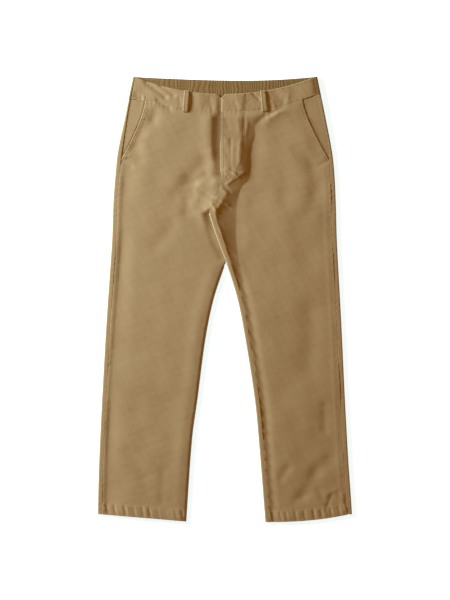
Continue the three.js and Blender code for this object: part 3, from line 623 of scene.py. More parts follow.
def band_level(leg, x, down):
    """Height of the upper surface of one front piece of the band. The right one dips under the left."""
    if leg == "left":
        return band_top(x, down)
    return mix(band_top(x, down), UNDERLAP_TOP + CLOTH + LAYER_GAP, smooth(x, FLY_X - 14, FLY_X - 1))


def band_top(x, down):
    """Height of the upper surface of the front of the band."""
    cloth = bpy.context.scene.chino_cloth
    overlap = np.where(x >= FLY_X, 1.4 * fall(x - FLY_X, 20, 90), 0)
    z = WAIST_TOP - WAIST_SIDE_DROP * waist_curve(x) ** 4 + overlap
    z = z + fold_relief(LARGE_FOLDS, x, down) + fold_relief(SMALL_FOLDS, x, down)
    edges = bump(down - front_seam(x), 8) * seam_tension(x, down, 11, 6)
    edges = edges + bump(down - front_rim(x), 6) * seam_tension(x, down, 9, 7)
    return z + BAND_EDGE_WAVE * edges + cloth.relief / MM * swells(BAND_SWELLS, x, down)


def place(x, down, z):
    """Points in the frame, in millimetres."""
    return np.stack(np.broadcast_arrays(x + MIDDLE_X, LENGTH / 2 - down, z), axis=-1).astype(float)


def grid_faces(rows, columns):
    """Quads of a closed wall between two grids of points, the upper ones first."""
    ids = np.arange(rows * columns).reshape(rows, columns)
    under = ids + rows * columns
    a, b, c, d = ids[:-1, :-1], ids[1:, :-1], ids[1:, 1:], ids[:-1, 1:]
    top = np.stack([a, b, c, d], -1).reshape(-1, 4)
    bottom = np.stack([a, d, c, b], -1).reshape(-1, 4) + rows * columns

    def rim(first, second):
        return np.stack([first[:-1], second[:-1], second[1:], first[1:]], -1)

    rims = [
        rim(ids[:, 0], under[:, 0]),
        rim(ids[:, -1][::-1], under[:, -1][::-1]),
        rim(ids[0][::-1], under[0][::-1]),
        rim(ids[-1], under[-1]),
    ]
    return np.concatenate([top, bottom, *rims])


def surface_normals(points, facing):
    """Unit normals of a grid of points, and straight up or down where it has no width."""
    across, down = np.gradient(points, axis=1), np.gradient(points, axis=0)
    normal = np.cross(down, across)
    length = np.linalg.norm(normal, axis=2, keepdims=True)
    return np.where(length > 1e-6, normal / np.maximum(length, 1e-6), np.array([0.0, 0.0, facing]))


def developed(points):
    """Where a grid of points lies on the flat cloth, in metres: distance across, and down."""
    steps = np.linalg.norm(np.diff(points, axis=1), axis=2)
    across = np.concatenate([np.zeros((len(points), 1)), np.cumsum(steps, axis=1)], axis=1)
    middle = across[:, across.shape[1] // 2][:, None]
    return np.stack([across - middle, -points[..., 1]], -1) * MM


def flat_cut(x, down):
    """Where a smooth piece lies on the flat cloth, in metres."""
    return np.stack([x, down], -1) * MM


def shell(name, outer, inner, cut, wear, finish):
    """A closed wall of cloth between two grids of points. cut is where the outer one lies on the flat
    cloth, and wear how much each of the two is rubbed."""
    rows, columns = outer.shape[:2]
    vertices = np.concatenate([outer.reshape(-1, 3), inner.reshape(-1, 3)]) * MM
    mesh = bpy.data.meshes.new(name)
    mesh.from_pydata(vertices, [], grid_faces(rows, columns).tolist())

    flat = np.concatenate([cut.reshape(-1, 2)] * 2)
    corners = np.empty(len(mesh.loops), int)
    mesh.loops.foreach_get("vertex_index", corners)
    mesh.uv_layers.new(name="cut").data.foreach_set("uv", flat[corners].ravel())
    worn = [np.broadcast_to(face, (rows, columns)).ravel() for face in wear]
    mesh.attributes.new("wear", "FLOAT", "POINT").data.foreach_set("value", np.concatenate(worn))
    return finished(name, mesh, finish)


def wall(name, points, thickness, finish, cut=None, wear=0.0, facing=1.0):
    """A closed wall of cloth under a grid of points of its outer face."""
    depth = np.broadcast_to(thickness, points.shape[:2])[..., None]
    inner = points - surface_normals(points, facing) * depth
    flat = developed(points) if cut is None else cut
    return shell(name, points, inner, flat, (wear, 0.0), finish)


def finished(name, mesh, finish):
    """The object of a mesh, with merged points, smooth faces and its material."""
    shape = bmesh.new()
    shape.from_mesh(mesh)
    bmesh.ops.remove_doubles(shape, verts=shape.verts, dist=MERGE_DISTANCE)
    bmesh.ops.dissolve_degenerate(shape, edges=shape.edges, dist=MERGE_DISTANCE / 10)
    shape.to_mesh(mesh)
    shape.free()
    mesh.shade_smooth()
    mesh.set_sharp_from_angle(angle=SHARP_ANGLE)
    mesh.materials.append(finish)
    piece = bpy.data.objects.new(name, mesh)
    bpy.context.collection.objects.link(piece)
    return piece


def between(start, stop, count):
    """Places from start to stop, close together at both ends, in rows of equal count."""
    length = stop - start
    direction = np.sign(length)
    steps = EDGE_STEPS[:, None] * np.minimum(1, np.abs(length) / 12)
    last = steps[-1] * direction
    share = np.linspace(0, 1, count)[1:-1, None]
    middle = mix(start + last, stop - last, share)
    return np.concatenate([start + steps * direction, middle, (stop - steps * direction)[::-1]])


def leg_levels(top, bottom):
    """Distances down of the rows of a leg panel, for the top and bottom of each of its columns."""
    pocket = mix(top + EDGE_STEPS[-1], POCKET_END, np.linspace(0, 1, POCKET_LEVELS)[1:-1, None])
    hip = np.linspace(POCKET_END, HIP_DOWN, HIP_LEVELS)[:-1, None] + 0 * top
    long = np.linspace(HIP_DOWN, SHIN_DOWN, LEG_LEVELS)[:-1, None] + 0 * top
    cuff = mix(SHIN_DOWN, bottom - EDGE_STEPS[-1], np.linspace(0, 1, CUFF_LEVELS)[:-1, None])
    return np.concatenate(
        [top + EDGE_STEPS[:, None], pocket, hip, long, cuff, bottom - EDGE_STEPS[::-1, None]]
    )


def front_grid(leg):
    """x, down and height of the upper surface of a front, in rows from the waist to the hem."""
    sign = SIGN[leg]

    def outer(down):
        return sign * np.where(down < POCKET_END, pocket_edge(leg, down), side_seam(leg, down))

    def inner(down):
        return inner_edge(leg, down)

    top_x = between(np.array([sign * POCKET_START[leg]]), np.array([inner(0.0)]), FRONT_COLUMNS)[:, 0]
    hem_x = between(np.array([outer(LENGTH)]), np.array([inner(LENGTH)]), FRONT_COLUMNS)[:, 0]
    down = leg_levels(front_seam(top_x), hem(leg, hem_x))
    x = np.empty_like(down)
    for column in range(down.shape[1]):
        places = between(outer(down[:, column]), inner(down[:, column]), FRONT_COLUMNS)
        x[:, column] = places[column]
    if leg == "left":
        x = crowded_at_fold(x, down)
    z = front_height(leg, x, down)
    from_outer, from_inner = np.abs(x - outer(down)), np.abs(x - inner(down))
    pocket_round = FOLD_ROUND if leg == "left" else 0.6
    outer_round = np.where(down < POCKET_END, pocket_round, SEAM_ROUND)
    fly_round = mix(*FLY_ROUND, smooth(down, *FLY_LOWER) * fall(down, FLY_END - 22, FLY_END))
    inner_round = fly_round if leg == "left" else SEAM_ROUND
    z = z - edge_drop(from_outer, outer_round) - edge_drop(from_inner, inner_round)
    if leg == "left":
        lower_fly = smooth(down, *FLY_LOWER) * fall(down, FLY_END - 12, FLY_END)
        z = z - FLY_DROP * lower_fly * fall(from_inner, 0, 13)
    z = z - edge_drop(down - down[0], BAND_SEAM_ROUND) - edge_drop(down[-1] - down, FOLD_ROUND)
    if sign > 0:
        x, down, z = x[:, ::-1], down[:, ::-1], z[:, ::-1]
    return x, down, z


def crowded_at_fold(x, down):
    """x of each column, closer together at the fold of the hip."""
    away = x - hollow_fold(down)
    return hollow_fold(down) + away * (1 - 0.75 * smooth(hollow_depth(down), 4, 6) * bump(away, 9))


def front_thickness(leg, x, down):
    """The folded hem is thicker, and the pressed edge of the pocket thinner."""
    hemmed = smooth(down, down[-1] - HEM_DEPTH - 1, down[-1] - HEM_DEPTH + 1)
    pocket = bump(pocket_edge(leg, down) - SIGN[leg] * x, 12) * fall(down, POCKET_END, POCKET_END + 14)
    return CLOTH + HEM_FOLD * hemmed - 0.6 * pocket


def front_wear(leg, x, down):
    """How much the edges of the hem and of the pocket are rubbed."""
    wave, hemmed = pucker(leg, x, down)
    hem_edge = 0.7 * bump(down[-1] - down, 3)
    pocket = 0.4 * bump(pocket_edge(leg, down) - SIGN[leg] * x, 3.5) * fall(down, POCKET_END - 4, POCKET_END)
    return np.clip(hem_edge + pocket + 0.3 * hemmed * np.maximum(wave, 0), 0, 1)


def inner_fold(leg, down):
    """The inner edge of a back, where it turns up to the inseam: edge, seam, top, bottom, and how much
    of it there is. Above the fork the left one lies on the right back."""
    if leg == "left":
        edge = np.where(down < FORK_DOWN, strip_edge(down), inside["left"](down))
        seam = np.where(down < FORK_DOWN, strip_seam(down), inside["left"](down) + SEAM_INSET)
        top = EDGE_TOP + 0.6 + raised(down) * fall(down, FORK_DOWN, 540)
        bottom = (CLOTH + GAP) * fall(down, STRIP_START, STRIP_FLAT)
        return edge, seam, top, bottom, smooth(down, CROSS_DOWN - 22, CROSS_DOWN + 3)
    edge = -inside["right"](down)
    seam = edge - INSEAM_INSET
    return edge, seam, RIGHT_INSEAM_TOP + 0 * down, 0 * down, smooth(down, FORK_DOWN - 2, FORK_DOWN + 14)


def under_edge(leg, down):
    """x of the inner edge of the flat underside."""
    seat = SEAT_SEAM_X + SIGN[leg] * GAP / 2
    if leg == "left":
        return mix(seat, inside["left"](down) + 6, smooth(down, STRIP_FLAT, FORK_DOWN))
    above_fork = mix(seat, strip_edge(down) - GAP, smooth(down, STRIP_START - 27, STRIP_START))
    ends = np.where(down < FORK_DOWN, above_fork, -inside["right"](down) - GAP)
    return ends - 3 * smooth(down, FORK_DOWN - 16, FORK_DOWN - 2)


def band_foot(leg):
    """Down of the foot of the band at the folded side."""
    return front_seam(SIGN[leg] * side[leg](0.0))


def side_rows(leg, inset, upward):
    """Distances down of the rows of a column at the folded side. upward is as in band_down."""
    top = band_down(SIGN[leg] * (side[leg](band_foot(leg)) - inset), upward, 1)
    bottom = hem(leg, SIGN[leg] * HEM_SIDE)
    return leg_levels(np.array([top]), np.array([bottom]))[:, 0]


def side_radius(down):
    """Half the height of the folded side."""
    return (edge_top(down) - underside(down)) / 2


def side_columns(leg):
    """Columns of a back from the side seam to the folded side, and round that to the underside."""
    sign, foot = SIGN[leg], band_foot(leg)
    columns = []
    for from_seam in (*EDGE_STEPS, *FLAP_STEPS):
        down = side_rows(leg, seam_inset(leg, foot) - from_seam / 3, 1)
        outward = from_seam * (seam_inset(leg, down) - side_radius(down)) / FLAP_WIDTH
        z = edge_top(down) + 0.14 * seam_tension(down, 0, 14, 3) - edge_drop(outward, SEAM_ROUND)
        columns.append((sign * (side_seam(leg, down) + outward), down, z))
    for angle in np.linspace(math.pi / 2, -math.pi / 2, ARC_COLUMNS):
        down = side_rows(leg, side_radius(foot) * (1 - math.cos(angle)), math.sin(angle))
        x = sign * (side[leg](down) - side_radius(down) * (1 - math.cos(angle)))
        columns.append((x, down, underside(down) + side_radius(down) * (1 + math.sin(angle))))
    return columns


def under_columns(leg):
    """Columns of a back along the underside, from the folded side to the seat seam or the inner edge."""
    sign = SIGN[leg]
    columns = []
    for share in np.linspace(0, 1, BACK_COLUMNS)[1:]:
        top = back_seam(mix(sign * side[leg](0.0), SEAT_SEAM_X, share))
        bottom = hem(leg, sign * mix(HEM_OUTSIDE, HEM_INSIDE, share))
        down = leg_levels(np.array([top]), np.array([bottom]))[:, 0]
        x = mix(sign * (side[leg](down) - side_radius(down)), under_edge(leg, down), share)
        lift = fold_relief(BACK_FOLDS, x, down) * smooth(share, 0, 0.1) * smooth(1 - share, 0, 0.08)
        wave, hemmed = pucker(leg, x, down)
        hem_lift = 0.2 * hemmed * (1 + wave) * smooth(share, 0, 0.06) * smooth(1 - share, 0, 0.06)
        columns.append((x, down, underside(down) + lift + hem_lift))
    return columns


def inseam_columns(leg, start_x, down, start_z):
    """Columns of a back from the last one underneath, round the inner edge and on to the inseam."""
    sign = SIGN[leg]
    edge, seam, top, bottom, present = inner_fold(leg, down)
    radius, width = (top - bottom) / 2, np.abs(seam - edge)
    turned_in = np.minimum(radius, STRIP_ROUND)
    turn = []
    for share in TURN_SHARES:
        turn.append((mix(start_x, edge + sign * turned_in, share), bottom * smooth(share, 0, 1)))
    for angle in np.linspace(-math.pi / 2, math.pi / 2, ARC_COLUMNS):
        x = edge + sign * turned_in * (1 - math.cos(angle))
        turn.append((x, bottom + radius * (1 + math.sin(angle))))
    for distance in (FLAP_STEPS[0], *EDGE_STEPS[::-1]):
        inset = width
        if leg == "left":
            inset = turned_in + np.maximum(width - turned_in, 0) * (1 - distance / SEAM_INSET)
        z = top - edge_drop(distance, SEAM_ROUND) + 0.12 * seam_tension(down, 0, 12, 5)
        turn.append((edge + sign * inset, z))
    return [(mix(start_x, x, present), down, mix(start_z, z, present)) for x, z in turn]


def back_columns(leg):
    """The columns of a back, from the side seam round the folded side, along the underside and up to the
    inseam. Each has its rows' x, down and height."""
    columns = side_columns(leg) + under_columns(leg)
    columns += inseam_columns(leg, *columns[-1])
    return columns if leg == "left" else columns[::-1]


def back_thickness(leg, down):
    """Thickness of each point of a back. Where the fold to the inseam has shrunk to nothing, so has this."""
    present = inner_fold(leg, down[:, 0])[-1][:, None]
    folded = np.arange(down.shape[1]) >= down.shape[1] - INNER_COLUMNS
    if leg == "right":
        folded = folded[::-1]
    return CLOTH * np.where(folded, present, 1.0)


class Wire:
    """One output in a material's nodes. Arithmetic on it adds Math nodes."""

    def __init__(self, shader, socket):
        self.shader, self.socket = shader, socket

    def output(self, name):
        return Wire(self.shader, self.socket.node.outputs[name])

    def math(self, operation, *values):
        return self.shader.node("ShaderNodeMath", {"operation": operation}, dict(enumerate(values)))

    def __add__(self, other):
        return self.math("ADD", self, other)

    def __sub__(self, other):
        return self.math("SUBTRACT", self, other)

    def __rsub__(self, other):
        return self.math("SUBTRACT", other, self)

    def __mul__(self, other):
        return self.math("MULTIPLY", self, other)

    def sine(self):
        return self.math("SINE", self)

    __radd__ = __add__
    __rmul__ = __mul__


class Shader:
    """A material and its nodes."""

    def __init__(self, name):
        self.material = bpy.data.materials.new(name)
        self.material.use_nodes = True
        self.tree = self.material.node_tree
        self.tree.nodes.clear()

    def node(self, kind, settings=None, inputs=None, output=0):
        """A new node: its settings first, then the values or links of its sockets."""
        made = self.tree.nodes.new(kind)
        for name, value in (settings or {}).items():
            setattr(made, name, value)
        for name, value in (inputs or {}).items():
            if isinstance(value, Wire):
                self.tree.links.new(value.socket, made.inputs[name])
            else:
                made.inputs[name].default_value = value
        return Wire(self, made.outputs[output])

    def noise(self, where, scale, detail=2.0, roughness=0.5):
        """Soft noise at a place, about 0 to 1."""
        inputs = {"Vector": where, "Scale": scale, "Detail": detail, "Roughness": roughness}
        return self.node("ShaderNodeTexNoise", {}, inputs)

    def blend(self, share, first, second):
        """A colour between two colours."""
        return self.node("ShaderNodeMix", {"data_type": "RGBA"}, {0: share, 6: first, 7: second}, output=2)

    def surface(self, **inputs):
        """The finish: sockets of a Principled BSDF, by name."""
        named = {}
        for name, value in inputs.items():
            named[name.replace("_", " ").title().replace("Ior", "IOR")] = value
        bsdf = self.node("ShaderNodeBsdfPrincipled", {}, named)
        out = self.tree.nodes.new("ShaderNodeOutputMaterial")
        self.tree.links.new(bsdf.socket, out.inputs["Surface"])
        return self.material


def tinted(colour, factor):
    """A lighter or darker colour, with full alpha."""
    return (*(channel * factor for channel in colour), 1.0)


def twill_material(name, colour, lean):
    """Washed cotton twill: slanting wales, slubby yarn, and paler cloth where it rubs. lean is 1 on the
    outer face, and -1 on the inner face, where the wales slant the other way."""
    cloth = bpy.context.scene.chino_cloth
    shader = Shader(name)
    cut = shader.node("ShaderNodeUVMap", {"uv_map": "cut"})
    u = shader.node("ShaderNodeSeparateXYZ", {}, {0: cut})
    v = u.output("Y")
    wander = shader.noise(cut, 210.0)
    slub = shader.noise(cut, 620.0, 3.0, 0.7)
    cloud = shader.noise(cut, 11.0, 3.0, 0.6)
    wale_turns = math.tau / cloth.wale_pitch
    wale = ((u * (0.83 * lean) + v * 0.56) * wale_turns + wander * 3.5).sine() * 0.5 + 0.5
    pick = ((u * (0.56 * lean) - v * 0.83) * (wale_turns * 1.6) + slub * 4.0).sine() * 0.5 + 0.5
    weave = wale * 0.65 + pick * 0.35

    shade = weave * 0.34 + slub * 0.40 + cloud * 0.42 - 0.08
    base = shader.blend(shade, tinted(colour, 0.80), tinted(colour, 1.16))
    wear = shader.node("ShaderNodeAttribute", {"attribute_name": "wear"}).output("Fac")
    worn = shader.blend(wear * (0.25 + slub * 0.5), base, tinted(colour, 1.32))
    height = weave * 0.8 + slub * 0.5
    relief = shader.node("ShaderNodeBump", {}, {"Strength": 0.20, "Distance": 0.00025, "Height": height})
    return shader.surface(
        base_color=worn, roughness=0.80 + slub * 0.16, normal=relief, sheen_weight=0.04, sheen_roughness=0.5,
        specular_ior_level=0.12,
    )


def thread_material(name, colour):
    """Twisted cotton sewing thread."""
    shader = Shader(name)
    where = shader.node("ShaderNodeTexCoord").output("Object")
    along_thread = shader.node("ShaderNodeSeparateXYZ", {}, {0: where})
    ply = ((along_thread + along_thread.output("Y")) * 9000.0).sine() * 0.5 + 0.5
    fluff = shader.noise(where, 800.0)
    base = shader.blend(ply * 0.5 + fluff * 0.4, tinted(colour, 0.78), tinted(colour, 1.15))
    relief = shader.node("ShaderNodeBump", {}, {"Strength": 0.4, "Distance": 0.0001, "Height": ply})
    return shader.surface(base_color=base, roughness=0.6 + fluff * 0.2, normal=relief, sheen_weight=0.1)


def table_material(colour):
    """The pale surface under the trousers."""
    shader = Shader("pale_table")
    where = shader.node("ShaderNodeTexCoord").output("Object")
    grain = shader.noise(where, 40.0)
    base = shader.blend(grain, tinted(colour, 0.99), tinted(colour, 1.0))
    glow = (0.62, 0.85, 1.0, 1.0)  # a lit backdrop, so that only faint shadows fall on it
    return shader.surface(base_color=base, roughness=0.9, emission_color=glow, emission_strength=0.9)


def material(name):
    """A finish by its name, made when it is first asked for."""
    found = bpy.data.materials.get(name)
    if found is not None:
        return found
    colours = bpy.context.scene.chino_colours
    if name == "outer_twill":
        return twill_material(name, colours.twill, 1)
    # The inner face's colour is darker and warmer than the outer twill: painted shade of the sunken back of
    # the band.
    if name == "inner_twill_painted_shade":
        return twill_material(name, colours.inside, -1)
    return thread_material(name, colours.thread)


def stitch_tree():
    """Geometry Nodes that lay a rounded stitch at each step along the edges of a mesh."""
    found = bpy.data.node_groups.get("Stitches")
    if found is not None:
        return found
    tree = bpy.data.node_groups.new("Stitches", "GeometryNodeTree")
    tree.interface.new_socket("Geometry", in_out="INPUT", socket_type="NodeSocketGeometry")
    for name in ("Pitch", "Stitch Length", "Thread Width"):
        tree.interface.new_socket(name, in_out="INPUT", socket_type="NodeSocketFloat")
    tree.interface.new_socket("Thread", in_out="INPUT", socket_type="NodeSocketMaterial")
    tree.interface.new_socket("Geometry", in_out="OUTPUT", socket_type="NodeSocketGeometry")

    def node(kind, inputs=(), **settings):
        made = tree.nodes.new(kind)
        for name, value in settings.items():
            setattr(made, name, value)
        for name, value in dict(inputs).items():
            if isinstance(value, bpy.types.NodeSocket):
                tree.links.new(value, made.inputs[name])
            else:
                made.inputs[name].default_value = value
        return made.outputs

    def half(size):
        return node("ShaderNodeMath", {0: size, 1: 0.5}, operation="MULTIPLY")["Value"]

    given = node("NodeGroupInput")
    line = node("GeometryNodeMeshToCurve", {"Mesh": given["Geometry"]})["Curve"]
    spacing = {"Curve": line, "Length": given["Pitch"]}
    steps = node("GeometryNodeResampleCurve", spacing, mode="LENGTH")["Curve"]
    tangent = node("GeometryNodeInputTangent")["Tangent"]
    turn = node("FunctionNodeAlignRotationToVector", {"Vector": tangent}, axis="X")["Rotation"]
    half_length, half_width = half(given["Stitch Length"]), half(given["Thread Width"])
    size = node("ShaderNodeCombineXYZ", {"X": half_length, "Y": half_width, "Z": half_width})["Vector"]
    bead = node("GeometryNodeMeshUVSphere", {"Segments": 8, "Rings": 5, "Radius": 1.0})["Mesh"]
    places = {"Points": steps, "Instance": bead, "Rotation": turn, "Scale": size}
    laid = node("GeometryNodeInstanceOnPoints", places)["Instances"]
    real = node("GeometryNodeRealizeInstances", {"Geometry": laid})["Geometry"]
    dyed = node("GeometryNodeSetMaterial", {"Geometry": real, "Material": given["Thread"]})["Geometry"]
    smooth_faces = node("GeometryNodeSetShadeSmooth", {"Geometry": dyed})["Geometry"]
    out = tree.nodes.new("NodeGroupOutput")
    tree.links.new(smooth_faces, out.inputs["Geometry"])
    return tree


def stitches(name, lines):
    """Rows of stitches along lines of points in millimetres."""
    cloth = bpy.context.scene.chino_cloth
    vertices, edges = [], []
    for line in lines:
        start = len(vertices)
        vertices += [tuple(point) for point in np.asarray(line) * MM]
        edges += [(i, i + 1) for i in range(start, len(vertices) - 1)]
    mesh = bpy.data.meshes.new(name)
    mesh.from_pydata(vertices, edges, [])
    piece = bpy.data.objects.new(name, mesh)
    bpy.context.collection.objects.link(piece)

    tree = stitch_tree()
    modifier = piece.modifiers.new("Stitches", "NODES")
    modifier.node_group = tree
    values = {
        "Pitch": cloth.stitch_pitch,
        "Stitch Length": cloth.stitch_length,
        "Thread Width": cloth.thread_width,
        "Thread": material("thread"),
    }
    for socket in tree.interface.items_tree:
        if socket.in_out == "INPUT" and socket.name in values:
            modifier[socket.identifier] = values[socket.name]
    bpy.context.view_layer.update()
    sewn = bpy.data.meshes.new_from_object(piece.evaluated_get(bpy.context.evaluated_depsgraph_get()))
    piece.modifiers.clear()
    piece.data = sewn
    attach(piece, "root")
    return piece


def bar_tack(x, down, top, angle, length=8.0):
    """Close stitches across a point of strain: a zigzag line of points."""
    points, width, lift = 22, 1.8, 0.25
    run = np.linspace(-length / 2, length / 2, points)
    swing = width / 2 * np.where(np.arange(points) % 2 == 0, 1, -1)
    x = x + run * math.cos(angle) - swing * math.sin(angle)
    down = down + run * math.sin(angle) + swing * math.cos(angle)
    return place(x, down, top(x, down) + lift)


def stitched(x, down, top, lift=0.12):
    """A line of points laid on a surface."""
    x, down = np.broadcast_arrays(np.asarray(x, float), np.asarray(down, float))
    return place(x, down, top(x, down) + lift)


def on_table(x, down):
    """Height of the table under a line of stitches."""
    return 0 * (x + down)


def cloth_piece(piece, node, trims=()):
    """Puts a finished piece of cloth under the root body, in place of its solid, which it hides."""
    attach(piece, "root")
    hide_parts(node)


class ChinoCloth(PropertyGroup):
    """Sizes of the cloth and its sewing"""

    relief: FloatProperty(
        name="Unevenness", description="Soft unevenness of the pressed cloth",
        default=0.00022, unit="LENGTH",
    )
    pucker_depth: FloatProperty(
        name="Hem Puckers", description="Depth of the puckers of the hems",
        default=0.0009, unit="LENGTH",
    )
    gather_depth: FloatProperty(
        name="Gathers", description="Height of the elastic's gathers",
        default=0.0007, unit="LENGTH",
    )
    wale_pitch: FloatProperty(
        name="Wales", description="Distance between the slanting wales of the twill",
        default=0.0009, unit="LENGTH",
    )
    stitch_pitch: FloatProperty(
        name="Stitch Pitch", description="Distance from stitch to stitch",
        default=0.0032, unit="LENGTH",
    )
    stitch_length: FloatProperty(
        name="Stitch Length", description="Length of thread that shows in a stitch",
        default=0.0027, unit="LENGTH",
    )
    thread_width: FloatProperty(
        name="Thread", description="Width of the sewing thread",
        default=0.0006, unit="LENGTH",
    )


class ChinoColours(PropertyGroup):
    """Colours of the cloth, the thread and the table"""

    twill: FloatVectorProperty(
        name="Twill", description="Khaki of the outer face",
        subtype="COLOR", size=3, min=0, max=1, default=(0.372, 0.265, 0.147),
    )
    # Colour of the inner face, darkened and warmed past the outer twill as painted shade of the sunken back
    # of the band; the pieces behind the fly share it.
    inside: FloatVectorProperty(
        name="Inside", description="Inner face of the waistband",
        subtype="COLOR", size=3, min=0, max=1, default=(0.237, 0.145, 0.055),
    )
    thread: FloatVectorProperty(
        name="Thread", description="Sewing thread",
        subtype="COLOR", size=3, min=0, max=1, default=(0.372, 0.265, 0.147),
    )
    table: FloatVectorProperty(
        name="Table", description="Pale surface under the trousers",
        subtype="COLOR", size=3, min=0, max=1, default=(0.96, 0.96, 0.96),
    )


class CHINO_OT_stage(Operator):
    """Sets out the pale table, the soft lamp, the warm fill and the camera straight above"""

    bl_idname = "chino.stage"
    bl_label = "Stage"

    def execute(self, context):
        self.table(context)
        self.lamp(context)
        self.surroundings(context)
        self.camera(context)
        return {"FINISHED"}

    def table(self, context):
        half = 4.0
        mesh = bpy.data.meshes.new("table")
        corners = [(-half, -half, 0), (half, -half, 0), (half, half, 0), (-half, half, 0)]
        mesh.from_pydata(corners, [], [(0, 1, 2, 3)])
        mesh.materials.append(table_material(context.scene.chino_colours.table))
        table = bpy.data.objects.new("table", mesh)
        context.collection.objects.link(table)

    def lamp(self, context):
        """A soft disc, low at the viewer's left, so that folds throw shade."""
        at, towards = (-2.3, 1.05, 0.70), (-0.05, 0.05, 0)
        light = bpy.data.lights.new("key_lamp", "AREA")
        light.shape, light.size, light.energy, light.color = "DISK", 0.85, 181, (0.777, 0.946, 1.0)
        lamp = bpy.data.objects.new("key_lamp", light)
        lamp.location = at
        aim = [t - a for t, a in zip(towards, at)]
        flat = math.hypot(aim[0], aim[1])
        lamp.rotation_euler = Euler((math.atan2(flat, -aim[2]), 0, math.atan2(aim[0], -aim[1]) + math.pi))
        context.collection.objects.link(lamp)

    def surroundings(self, context):
        """A pale backdrop that the camera sees, and the warm light that fills the shadows."""
        world = bpy.data.worlds.new("studio")
        world.use_nodes = True
        tree = world.node_tree
        tree.nodes.clear()
        fill = tree.nodes.new("ShaderNodeBackground")
        fill.inputs["Color"].default_value = (1.0, 0.50, 0.04, 1)
        fill.inputs["Strength"].default_value = 0.386
        backdrop = tree.nodes.new("ShaderNodeBackground")
        backdrop.inputs["Color"].default_value = (1.0, 0.99, 0.97, 1)
        path = tree.nodes.new("ShaderNodeLightPath")
        seen = tree.nodes.new("ShaderNodeMixShader")
        out = tree.nodes.new("ShaderNodeOutputWorld")
        tree.links.new(path.outputs["Is Camera Ray"], seen.inputs[0])
        tree.links.new(fill.outputs["Background"], seen.inputs[1])
        tree.links.new(backdrop.outputs["Background"], seen.inputs[2])
        tree.links.new(seen.outputs["Shader"], out.inputs["Surface"])
        context.scene.world = world
        context.scene.view_settings.view_transform = "Standard"

    def camera(self, context):
        lens, sensor, view_height = 85.0, 36.0, 1.44
        view_y, cloth_level = -0.0014, 0.008
        data = bpy.data.cameras.new("camera")
        data.lens, data.sensor_width = lens, sensor
        camera = bpy.data.objects.new("camera", data)
        camera.location = (MIDDLE_X * MM, view_y, view_height * lens / sensor + cloth_level)
        context.collection.objects.link(camera)
        context.scene.camera = camera


class CHINO_OT_backs(Operator):
    """Makes the two backs, whose edges fold over to the side seams and inseams"""

    bl_idname = "chino.backs"
    bl_label = "Backs"

    def execute(self, context):
        for leg in ("right", "left"):
            columns = back_columns(leg)
            x, down, z = (np.stack([column[i] for column in columns], axis=1) for i in range(3))
            piece = wall(
                f"back_{leg}_cloth", place(x, down, z), back_thickness(leg, down), material("outer_twill"),
                wear=0.6 * bump(down[-1] - down, 3), facing=-1.0,
            )
            cloth_piece(piece, f"back_{leg}", [self.hem_stitches(leg)])
        return {"FINISHED"}

    def hem_stitches(self, leg):
        x = SIGN[leg] * np.linspace(HEM_ROW_START, HEM_ROW_END["back"], 60)
        line = stitched(x, hem(leg, x) - HEM_DEPTH, on_table, lift=0.05)
        return stitches(f"hem_stitches_back_{leg}", [line])


class CHINO_OT_fronts(Operator):
    """Makes the two fronts, with their hems and the slanted edges of the pockets"""

    bl_idname = "chino.fronts"
    bl_label = "Fronts"

    def execute(self, context):
        for leg in ("right", "left"):
            x, down, z = front_grid(leg)
            piece = wall(
                f"front_{leg}_cloth", place(x, down, z), front_thickness(leg, x, down),
                material("outer_twill"), flat_cut(x, down), front_wear(leg, x, down),
            )
            trims = [self.hem_stitches(leg), self.pocket_stitches(leg)]
            if leg == "left":
                trims.append(self.fly_stitches())
            cloth_piece(piece, f"front_{leg}", trims)
        return {"FINISHED"}

    def top(self, leg):
        return lambda x, down: front_height(leg, x, down)

    def hem_stitches(self, leg):
        x = SIGN[leg] * np.linspace(HEM_ROW_START, HEM_ROW_END["front"], 120)
        return stitches(f"hem_stitches_front_{leg}", [stitched(x, hem(leg, x) - HEM_DEPTH, self.top(leg))])

    def pocket_stitches(self, leg):
        sign = SIGN[leg]
        lines = []
        down = np.linspace(front_seam(sign * POCKET_START[leg]) + 3, POCKET_END - 2, 60)
        for inset in POCKET_ROWS:
            lines.append(stitched(sign * (pocket_edge(leg, down) - inset), down, self.top(leg)))
        for end in (POCKET_TACK_TOP, POCKET_TACK_FOOT):
            x = sign * (pocket_edge(leg, end) - 5)
            lines.append(bar_tack(x, end, self.top(leg), 0.15 * sign))
        return stitches(f"pocket_stitches_{leg}", lines)

    def fly_stitches(self):
        lines = []
        straight = np.linspace(front_seam(FLY_X + FLY_WIDTH) + 3, FLY_STRAIGHT_END, 40)[:-1]
        turn = np.linspace(0, math.pi / 2 - 0.06, 50)
        for inset in FLY_ROWS:
            curve_x = FLY_X + (FLY_WIDTH - inset) * np.cos(turn)
            curve_down = FLY_STRAIGHT_END + (FLY_STITCH_END - inset - FLY_STRAIGHT_END) * np.sin(turn)
            x = np.concatenate([np.full(len(straight), FLY_X + FLY_WIDTH - inset), curve_x])
            lines.append(stitched(x, np.concatenate([straight, curve_down]), self.top("left")))
        down = np.linspace(front_seam(FLY_X) + 3, FLY_END - 4, 60)
        lines.append(stitched(FLY_X + FLY_EDGE_ROW, down, self.top("left")))
        lines.append(bar_tack(FLY_X + 12, FLY_END - 6, self.top("left"), -0.9))
        return stitches("fly_stitches", lines)


